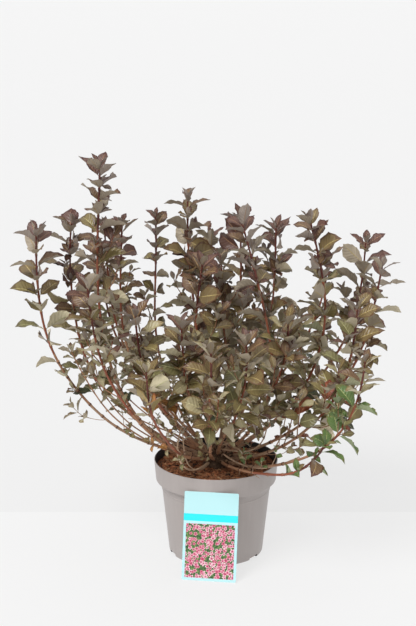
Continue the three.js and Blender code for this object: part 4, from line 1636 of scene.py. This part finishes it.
@dataclass
class Pot:
    """The nursery pot: tapered, with a tall upright band below its lip and drain notches."""

    height: float = 224.0
    rim_radius: float = 143.4
    band_height: float = 47.0
    band_foot_radius: float = 139.5
    shoulder_drop: float = 11.0
    body_radius: float = 126.5
    foot_radius: float = 109.0
    wall: float = 2.6
    floor: float = 3.0
    bead_height: float = 5.0
    bead_depth: float = 1.1
    bead_drop: float = 9.0
    foot_round: float = 3.0
    notches: int = 6
    notch_turn: float = 23.0  # direction of the first, in degrees from +X
    notch_width: float = 30.0
    notch_depth: float = 16.0
    notch_height: float = 7.0
    notch_round: float = 3.5
    notch_below: float = 2.0
    crease: float = 35.0
    segments: int = 160
    outside: Finish = MouldedPolypropylene("polypropylene_taupe_moulded", "a09895", 0.42)
    inside: Finish = MouldedPolypropylene("polypropylene_black_moulded", "1d1a19", 0.5, flow_colour="262221")

    def radius_at(self, height: float) -> float:
        """The outside radius of the tapered body at a height."""
        top = self.height - self.band_height - self.shoulder_drop
        return self.foot_radius + (self.body_radius - self.foot_radius) * height / top

    def outline(self) -> Array:
        """The pot's half section, up its outside and down its inside.

        Returns:
            Radius and height of each point.
        """
        band_foot = self.height - self.band_height
        body_top = band_foot - self.shoulder_drop
        bead_top = body_top - self.bead_drop
        bead_foot = bead_top - self.bead_height
        bead_middle = (bead_top + bead_foot) / 2
        lip = self.wall / 2 - 0.05
        # The third value of a corner is the radius that it is rounded by.
        outer = [
            (0, 0, 0),
            (self.foot_radius, 0, self.foot_round),
            (self.radius_at(bead_foot), bead_foot, 0.8),
            (self.radius_at(bead_middle) + self.bead_depth, bead_middle, 1.6),
            (self.radius_at(bead_top), bead_top, 0.8),
            (self.body_radius, body_top, 4),
            (self.band_foot_radius, band_foot, 2.5),
            (self.rim_radius, self.height, lip),
        ]
        inner = [
            (self.rim_radius - self.wall, self.height, lip),
            (self.band_foot_radius - self.wall, band_foot, 3),
            (self.body_radius - self.wall, body_top, 3),
            (self.radius_at(self.floor) - self.wall, self.floor, 2),
            (0, self.floor, 0),
        ]
        return rounded(outer + inner)

    def build(self) -> None:
        """Turns the pot and cuts its drain notches."""
        profile = self.outline()
        points, faces = lathe(profile, self.segments)
        # The inside starts at the top of the lip, at the innermost of its level points.
        crest = int(np.argmax(profile[1:-1, 1] - 0.001 * profile[1:-1, 0]))
        inside = np.arange(len(profile) - 3) >= crest
        body = Patchwork()
        body.add(points, faces, [np.repeat(places, self.segments) for places in (inside.astype(int), (0, 1))])
        materials = [self.outside.material(), self.inside.material()]
        pot = body.build("pot_shell", materials, self.crease)
        # The notches' cut faces take the inside's black plastic as painted shade.
        cutter = self.notch_cutter(materials)
        cut = pot.modifiers.new("drain_notches", "BOOLEAN")
        cut.operation, cut.object, cut.solver = "DIFFERENCE", cutter, "EXACT"
        applied(pot)
        bpy.data.objects.remove(cutter)
        smooth(pot, self.crease)
        settle(pot, "pot_plastic", "pot")

    def notch_cutter(self, materials: list[Material]) -> Piece:
        """Blocks with an arched top, one for each drain notch, dressed in the inside's black, which paints
        shade onto the notches' cut faces.

        Args:
            materials: The pot's materials, of which the second is the inside's.

        Returns:
            The blocks, as one object.
        """
        half = self.notch_width / 2
        left = [(-half, -self.notch_below, 0), (-half, self.notch_height, self.notch_round)]
        right = [(half, self.notch_height, self.notch_round), (half, -self.notch_below, 0)]
        arc = rounded(left + right)
        near = np.arange(len(arc))
        ahead = np.roll(near, -1)
        sides = np.stack([near, near + len(arc), ahead + len(arc), ahead], axis=-1)
        blocks = Patchwork()
        for i in range(self.notches):
            turn = self.notch_turn + 360 * i / self.notches
            out, beside = heading(turn), heading(turn + 90)
            ends = [
                out * (self.foot_radius + away) + arc[:, :1] * beside + arc[:, 1:] * UP
                for away in (-self.notch_depth / 2, self.notch_depth / 2)
            ]
            # Slot 1, the inside's black, is painted shade on the cut faces of each notch.
            blocks.add(np.concatenate(ends), [sides, near[None, :], near[None, ::-1] + len(arc)], 1)
        return blocks.build("notch_cutter", materials)


@dataclass
class Mulch:
    """Shredded bark that fills the pot: a domed bed, and shreds and fibres that lie on it."""

    seat: float = 207.0
    seat_radius: float = 54.0
    swell: float = 4.0
    swell_radius: float = 84.0
    edge_drop: float = 2.0
    edge_radius: float = 138.6
    lumps: tuple[Triple, ...] = ((2.6, 26.0, 0.3), (1.5, 7.0, 4.1))  # height, width and pattern
    wall: tuple[Span, ...] = ((106.0, 3.3), (123.3, 166.0), (136.3, 177.0))
    rings: int = 60
    sectors: int = 150
    shreds: int = 2600
    shred_shares: Series = (0.4, 0.3, 0.22, 0.08)  # of the four barks
    shred_length: Span = (3.5, 15.0)  # the least, and what the longest has above it
    shred_width: Span = (0.16, 0.5)  # as a share of the length
    fibres: int = 420
    fibre_shares: Series = (0.3, 0.3, 0.1, 0.3)
    fibre_length: Span = (10.0, 34.0)
    bed: Finish = Wood(
        "bark_fines_moist", "6b4029", 0.95, second="8a5839", mottle=5.0, grain=1.8, grain_depth=1.0
    )
    barks: tuple[Finish, ...] = (
        Wood("bark_shreds_brown", "875639", 0.9, second="a06e4b", mottle=6.0),
        Wood("bark_shreds_red", "9c5c3b", 0.9, second="b67a52", mottle=6.0),
        Wood("bark_shreds_dark", "38221a", 0.92, second="4f3122", mottle=6.0),
        Wood("bark_shreds_pale", "a67c58", 0.88, second="c09a74", mottle=6.0),
    )

    def height_at(self, x: float, y: float) -> float:
        """The height of the bed, with its lumps.

        Args:
            x: The place's distance to the right.
            y: Its distance to the back.

        Returns:
            The height above the pot's underside.
        """
        radii = (0, self.seat_radius, self.swell_radius, self.edge_radius)
        middle, swell = self.seat - 0.5, self.seat + self.swell - 1
        heights = (middle, middle, swell, self.seat - self.edge_drop - 1)
        lumps = (tall * noise.noise(Vector((x / wide, y / wide, at))) for tall, wide, at in self.lumps)
        return float(np.interp(math.hypot(x, y), radii, heights)) + sum(lumps)

    def build(self) -> None:
        """Makes the bed, the shreds in their four colours, and the fibres."""
        random = np.random.default_rng(SEED + 1)
        radii = self.edge_radius * np.linspace(0, 1, self.rings + 1)[1:][::-1]
        outline = [(0, self.wall[0][1]), *self.wall]
        outline += [(radius, self.seat) for radius in radii] + [(0, self.seat)]
        points, faces = lathe(np.array(outline), self.sectors)
        surface = points[:, 2] > self.wall[-1][1] + 1
        points[surface, 2] = [self.height_at(x, y) for x, y, _ in points[surface]]
        bed = Patchwork()
        bed.add(points, faces)
        settle(bed.build("bark_bed", [self.bed.material()]), "bark_mulch", "soil")

        materials = [finish.material() for finish in self.barks]
        shreds = Patchwork()
        for _ in range(self.shreds):
            self.add_shred(shreds, random)
        settle(shreds.build("bark_shreds", materials, 30), "bark_mulch", "soil")
        strands = Patchwork()
        for _ in range(self.fibres):
            self.add_fibre(strands, random)
        settle(strands.build("bark_fibres", materials), "bark_mulch", "soil")

    def place(self, random: Dealer, most: float) -> Array:
        """A random place on the bed, within a radius."""
        level, turn = most * math.sqrt(random.random()), random.uniform(0, 2 * math.pi)
        x, y = level * math.cos(turn), level * math.sin(turn)
        return np.array((x, y, self.height_at(x, y)))

    def add_shred(self, patchwork: Patchwork, random: Dealer) -> None:
        """Adds one shred of bark: a flat splinter with torn ends."""
        least, more = self.shred_length
        length = least + more * random.random() ** 2.2
        width = length * random.uniform(*self.shred_width)
        thick = min(width / 2, random.uniform(0.6, 2.0))
        place = self.place(random, self.edge_radius - 4 - length / 2)
        turn, tilt = random.uniform(0, 2 * math.pi), math.radians(random.normal(0, 16))
        along = np.array((math.cos(turn) * math.cos(tilt), math.sin(turn) * math.cos(tilt), math.sin(tilt)))
        side = side_of(along, random.normal(0, 0.5))
        face = np.cross(side, along)
        corners = []
        for section in (-1, -0.35, 0.4, 1):
            end = 0.45 if abs(section) == 1 else 1
            for aside, above in ((-1, -1), (1, -1), (1, 1), (-1, 1)):
                torn = 1 + random.uniform(-0.28, 0.28)
                corner = along * (section * length / 2 * torn) + side * (aside * width / 2 * end * torn)
                corners.append(corner + face * (above * thick / 2 * torn))
        points = np.array(corners) + place + UP * (thick * 0.45 + random.uniform(-0.6, 1.6))
        near = np.arange(4)
        ahead = np.roll(near, -1)
        quads = [np.stack([near, ahead, ahead + 4, near + 4], axis=-1) + 4 * ring for ring in range(3)]
        ends = np.array([[3, 2, 1, 0], [12, 13, 14, 15]])
        slot = int(random.choice(len(self.barks), p=self.shred_shares))
        patchwork.add(points, [np.concatenate(quads + [ends])], slot)

    def add_fibre(self, patchwork: Patchwork, random: Dealer) -> None:
        """Adds one fibre: a thin strand that curls over the bed."""
        length = random.uniform(*self.fibre_length)
        place = self.place(random, self.edge_radius - 6 - length / 2)
        turn, bend = random.uniform(0, 2 * math.pi), random.uniform(-1.6, 1.6)
        shares = np.linspace(-0.5, 0.5, 7)
        angles = turn + bend * shares
        steps = np.stack([np.cos(angles), np.sin(angles), 0 * angles], axis=-1) * length / (len(angles) - 1)
        path = place + np.cumsum(steps, axis=0) - steps.sum(axis=0) / 2
        level = np.hypot(path[:, 0], path[:, 1])
        path[:, :2] *= np.minimum(1, (self.edge_radius - 2) / level)[:, None]
        lift = random.uniform(0.4, 2.2) + random.uniform(0, 5) * (0.25 - shares**2)
        path[:, 2] = [self.height_at(x, y) for x, y, _ in path] + lift
        radii = random.uniform(0.25, 0.55) * (1.1 - 1.6 * np.abs(shares))
        slot = int(random.choice(len(self.barks), p=self.fibre_shares))
        patchwork.add(*tube(path, radii, 4), slot)


@dataclass
class Crown:
    """The woody crown: a knotted stool with a stub under each stem, and old pruned stubs."""

    seat: float = 207.0
    radius: float = 30.0
    height: float = 24.0
    lump: float = 0.16
    stub_start: float = 0.35
    stub_radius: float = 6.5
    foot_radius: float = 4.1
    pruned: int = 9
    pruned_length: Span = (17.0, 34.0)
    pruned_radius: Span = (3.6, 5.8)
    voxel: float = 1.5
    crack: float = 1.1
    crack_size: Triple = (4.5, 4.5, 11.0)
    sides: int = 12
    crease: float = 60.0
    bark: Finish = Wood(
        "old_bark_fissured", "6f5742", 0.9, second="3f2c20", mottle=5.0, grain=1.5, grain_depth=0.9
    )
    cut: Finish = Wood(
        "cut_wood_weathered", "b39a74", 0.8, second="8c7250", mottle=3.0, grain=1.0, grain_depth=0.3
    )

    def build(self, curves: list[Curve]) -> None:
        """Joins the stool and the stubs, remeshes them as one and cracks the bark.

        Args:
            curves: The stems' courses, which start where the stubs end.
        """
        random = np.random.default_rng(SEED + 2)
        wood = Patchwork()
        middle = self.seat + self.height * 0.3
        turns = np.linspace(-math.pi / 2, math.pi / 2, 13)
        profile = np.stack([self.radius * np.cos(turns), middle + self.height * np.sin(turns)], axis=-1)
        profile[[0, -1], 0] = 0
        points, faces = lathe(profile, 24)
        turn = np.arctan2(points[:, 1], points[:, 0])
        points[:, :2] *= (1 + self.lump * np.sin(5 * turn) * np.cos(3 * turn + 1))[:, None]
        wood.add(points, faces)
        for curve in curves:
            self.add_stub(wood, curve)
        cuts = [self.add_pruned(wood, random, index) for index in range(self.pruned)]
        crown = wood.build("crown_wood", [self.bark.material(), self.cut.material()])
        remesh = crown.modifiers.new("grown_together", "REMESH")
        remesh.mode, remesh.voxel_size = "VOXEL", self.voxel * MM
        applied(crown)
        self.weather(crown.data, cuts)
        smooth(crown, self.crease)
        settle(crown, "old_wood", "crown")

    def add_stub(self, wood: Patchwork, curve: Curve) -> None:
        """Adds the stub that a stem grows from to the crown's wood."""
        end, leaves = curve.at(0.0), curve.along(0.0)
        start = end * self.stub_start
        start[2] = self.seat + self.height * 0.4
        handle = end - leaves * 0.35 * np.linalg.norm(end - start)
        stub = Curve([start, handle, end + leaves * 9], 0.6, float(end[0]))
        shares = np.linspace(0, 1, 9)
        radii = self.foot_radius + 0.2 + (self.stub_radius - self.foot_radius) * (1 - shares) ** 1.4
        radii[-1] = self.foot_radius * 0.8
        wood.add(*tube(stub.at(shares), radii, self.sides))

    def add_pruned(self, wood: Patchwork, random: Dealer, index: int) -> tuple[Array, Array, float]:
        """Adds one old stub that was pruned off.

        Args:
            wood: The crown's wood.
            random: What deals its shape and place.
            index: Its number.

        Returns:
            The middle of its cut, the direction that it faces and its radius.
        """
        away = heading(index * 360 / self.pruned + random.uniform(-16, 16))
        start = away * random.uniform(6, 20) + UP * (self.seat + 14)
        lean = random.uniform(0.25, 1.0)
        length = random.uniform(*self.pruned_length)
        end = start + unit(away * lean + UP) * length
        radius = random.uniform(*self.pruned_radius)
        path = start + (end - start) * np.array((0, 0.5, 0.94, 1.0))[:, None]
        wood.add(*tube(path, radius * np.array((1.3, 1.05, 1.0, 0.98)), self.sides))
        return end, unit(end - start), radius

    def weather(self, mesh: bpy.types.Mesh, cuts: list[tuple[Array, Array, float]]) -> None:
        """Cracks the bark along the mesh's normals and gives the pruned ends their cut wood.

        Args:
            mesh: The crown's mesh.
            cuts: The middle, direction and radius of each pruned end.
        """
        count = len(mesh.vertices)
        points, normals = np.empty(count * 3), np.empty(count * 3)
        mesh.vertices.foreach_get("co", points)
        mesh.vertices.foreach_get("normal", normals)
        points, normals = points.reshape(-1, 3) / MM, normals.reshape(-1, 3)
        depth = [noise.turbulence(Vector(p / self.crack_size), 3, True) - 0.55 for p in points]
        whole = np.ones(count)
        for end, facing, radius in cuts:
            offset = points - end
            ahead = offset @ facing
            across = np.linalg.norm(offset - ahead[:, None] * facing, axis=1)
            whole[(np.abs(ahead) < 1.6) & (across < radius + 0.5)] = 0.1
        points += normals * (np.array(depth) * self.crack * whole)[:, None]
        points[:, 2] = np.maximum(points[:, 2], self.seat - 3)
        mesh.vertices.foreach_set("co", (points * MM).astype(np.float32).ravel())
        faces = len(mesh.polygons)
        centres, facings = np.empty(faces * 3), np.empty(faces * 3)
        mesh.update()
        mesh.polygons.foreach_get("center", centres)
        mesh.polygons.foreach_get("normal", facings)
        centres, facings = centres.reshape(-1, 3) / MM, facings.reshape(-1, 3)
        slots = np.zeros(faces, dtype=np.int32)
        for end, facing, radius in cuts:
            offset = centres - end
            near = np.abs(offset @ facing) < 2.2
            near &= np.linalg.norm(offset, axis=1) < radius + 1.2
            slots[near & (facings @ facing > 0.6)] = 1
        mesh.polygons.foreach_set("material_index", slots)


@dataclass
class PlantCard:
    """The card that leans on the pot's rim, printed with a plain design of bands and blossoms."""

    width: float = 123.0
    height: float = 200.0
    thickness: float = 0.8
    corner: float = 3.0
    corner_steps: Series = (0.1, 0.3, 0.6)  # rows across a corner
    foot_distance: float = 190.4
    foot_centre: float = 11.0
    turn: float = -8.5
    lean: float = 14.3
    lift: float = 0.3
    columns: int = 24
    rows: int = 44
    crease: float = 30.0
    front: Finish = PrintedCard("card_printed_varnished", "b4dfe3", 0.3)
    back: Finish = Wood(
        "card_uncoated_back", "e4e2dc", 0.7, second="dcdad3", mottle=9.0, grain=0.8, grain_depth=0.03
    )

    def build(self) -> None:
        """Makes the card flat in its own plane, then stands it against the pot."""
        steps = self.corner * np.array(self.corner_steps)
        even = np.linspace(0, self.height, self.rows + 1)
        up = np.sort(np.concatenate([even, steps, self.height - steps]))
        inset = np.maximum(0, self.corner - np.minimum(up, self.height - up))
        half = self.width / 2 - self.corner + np.sqrt(np.maximum(0, self.corner**2 - inset**2))
        across = np.linspace(-1, 1, self.columns + 1)
        x = half[:, None] * across
        y = np.broadcast_to(up[:, None], x.shape)
        levels = (np.full(x.shape, z) for z in (self.thickness, 0.0))
        sheets = [np.stack([x, y, level], axis=-1).reshape(-1, 3) for level in levels]
        grid = np.arange(x.size).reshape(x.shape)
        front = np.stack([grid[:-1, :-1], grid[:-1, 1:], grid[1:, 1:], grid[1:, :-1]], axis=-1).reshape(-1, 4)
        rim = np.concatenate([grid[0, :-1], grid[:-1, -1], grid[-1, :0:-1], grid[:0:-1, 0]])
        ahead = np.roll(rim, -1)
        sides = np.stack([rim, rim + x.size, ahead + x.size, ahead], axis=-1)
        sheet = Patchwork()
        faces = [front, front[:, ::-1] + x.size, sides]
        slots = [np.zeros(len(front)), np.ones(len(front)), np.ones(len(sides))]
        sheet.add(np.concatenate(sheets), faces, slots)
        materials = [self.front.material(), self.back.material()]
        card = sheet.build("plant_card_sheet", materials, self.crease)
        stand = Matrix.Rotation(math.radians(self.turn), 4, "Z")
        stand @= Matrix.Translation(Vector((self.foot_centre, -self.foot_distance, self.lift)) * MM)
        stand @= Matrix.Rotation(math.radians(90 - self.lean), 4, "X")
        card.matrix_world = stand
        settle(card, "card_stock", "plant_card")


# ---- studio


@dataclass
class Studio:
    """A plain pale floor under soft light, and the camera."""

    camera_place: Triple = (-18.6, -3540.0, 1541.0)
    camera_pitch: float = 15.3
    focal_length: float = 93.16
    floor_radius: float = 40000.0
    wall_height: float = 11500.0
    wall_panels: int = 48
    paper_edge: float = 217.0  # how far behind the pot the floor paper ends
    paper_roughness: float = 0.9
    floor_colour: str = "6b6b6b"
    far_colour: str = "696969"
    world_colour: str = "ffffff"
    world_strength: float = 0.34
    lamps: tuple[tuple[str, float, float, float, float], ...] = (
        ("key_softbox", -128, 50, 30, 2.5),
        ("fill_softbox", -45, 38, 60, 0.6),
        ("top_softbox", 80, 70, 60, 0.7),
    )

    def build(self) -> None:
        """Lays the floor and sets up the lights and the camera."""
        self.lay_floor()
        self.hang_wall()
        for lamp in self.lamps:
            self.hang(*lamp)
        world = bpy.data.worlds.new("studio_white")
        world.use_nodes = True
        background = world.node_tree.nodes["Background"].inputs
        background["Color"].default_value = linear(self.world_colour)
        background["Strength"].default_value = self.world_strength
        scene = bpy.context.scene
        scene.world = world
        scene.view_settings.view_transform = "Standard"
        data = bpy.data.cameras.new("camera")
        data.lens = self.focal_length
        camera = bpy.data.objects.new("camera", data)
        camera.location = Vector(self.camera_place) * MM
        camera.rotation_euler = (math.radians(90 - self.camera_pitch), 0, 0)
        scene.collection.objects.link(camera)
        scene.camera = camera

    def lay_floor(self) -> None:
        """Lays two halves of a wide floor: pale paper in front, a shade darker behind its edge."""
        wide = self.floor_radius
        for name, colour, near, far in (
            ("floor_paper", self.floor_colour, -wide, self.paper_edge),
            ("floor_behind", self.far_colour, self.paper_edge, wide),
        ):
            corners = np.array([(-wide, near, 0), (wide, near, 0), (wide, far, 0), (-wide, far, 0)])
            self.lay(name, f"{name}_matt", colour, corners, np.array([[0, 1, 2, 3]]))

    def hang_wall(self) -> None:
        """Hangs the same paper in a wide ring around the floor, for views from a low height."""
        first = np.arange(self.wall_panels)
        around = np.array([heading(turn) for turn in first * 360 / self.wall_panels]) * self.floor_radius
        rows = np.vstack([around, around + UP * self.wall_height])
        after = (first + 1) % self.wall_panels
        panels = np.column_stack([first, first + self.wall_panels, after + self.wall_panels, after])
        self.lay("backdrop_wall", "wall_matt", self.far_colour, rows, panels)

    def lay(self, name: str, finish: str, colour: str, points: Array, faces: Array) -> None:
        """Puts a sheet of paper of this name, finish and colour into the studio."""
        sheet = Patchwork()
        sheet.add(points, [faces])
        sheet.build(name, [BackdropPaper(finish, colour, self.paper_roughness).material()])

    def hang(self, name: str, azimuth: float, height: float, spread: float, strength: float) -> None:
        """Hangs one wide soft light a long way off, so that it is even over the whole floor.

        Args:
            name: The light's name.
            azimuth: Its direction from the plant, from +X towards +Y.
            height: Its angle above the floor.
            spread: How wide it looks from the plant, as an angle.
            strength: Its strength, in watts on a square metre.
        """
        data = bpy.data.lights.new(name, "SUN")
        data.angle, data.energy = math.radians(spread), strength
        lamp = bpy.data.objects.new(name, data)
        towards = heading(azimuth) * math.cos(math.radians(height)) + UP * math.sin(math.radians(height))
        lamp.rotation_euler = Vector(-towards).to_track_quat("-Z", "Y").to_euler()
        bpy.context.scene.collection.objects.link(lamp)


def main() -> None:
    """Builds the studio and the pieces in order."""
    logging.basicConfig(level=logging.INFO, format="%(name)s: %(message)s")
    Studio().build()
    Pot().build()
    Mulch().build()
    PlantCard().build()
    shrub = Shrub()
    shrub.grow()
    Crown().build(shrub.curves)
    shrub.build_wood()
    shrub.build_leaves()


if __name__ == "__main__":
    main()
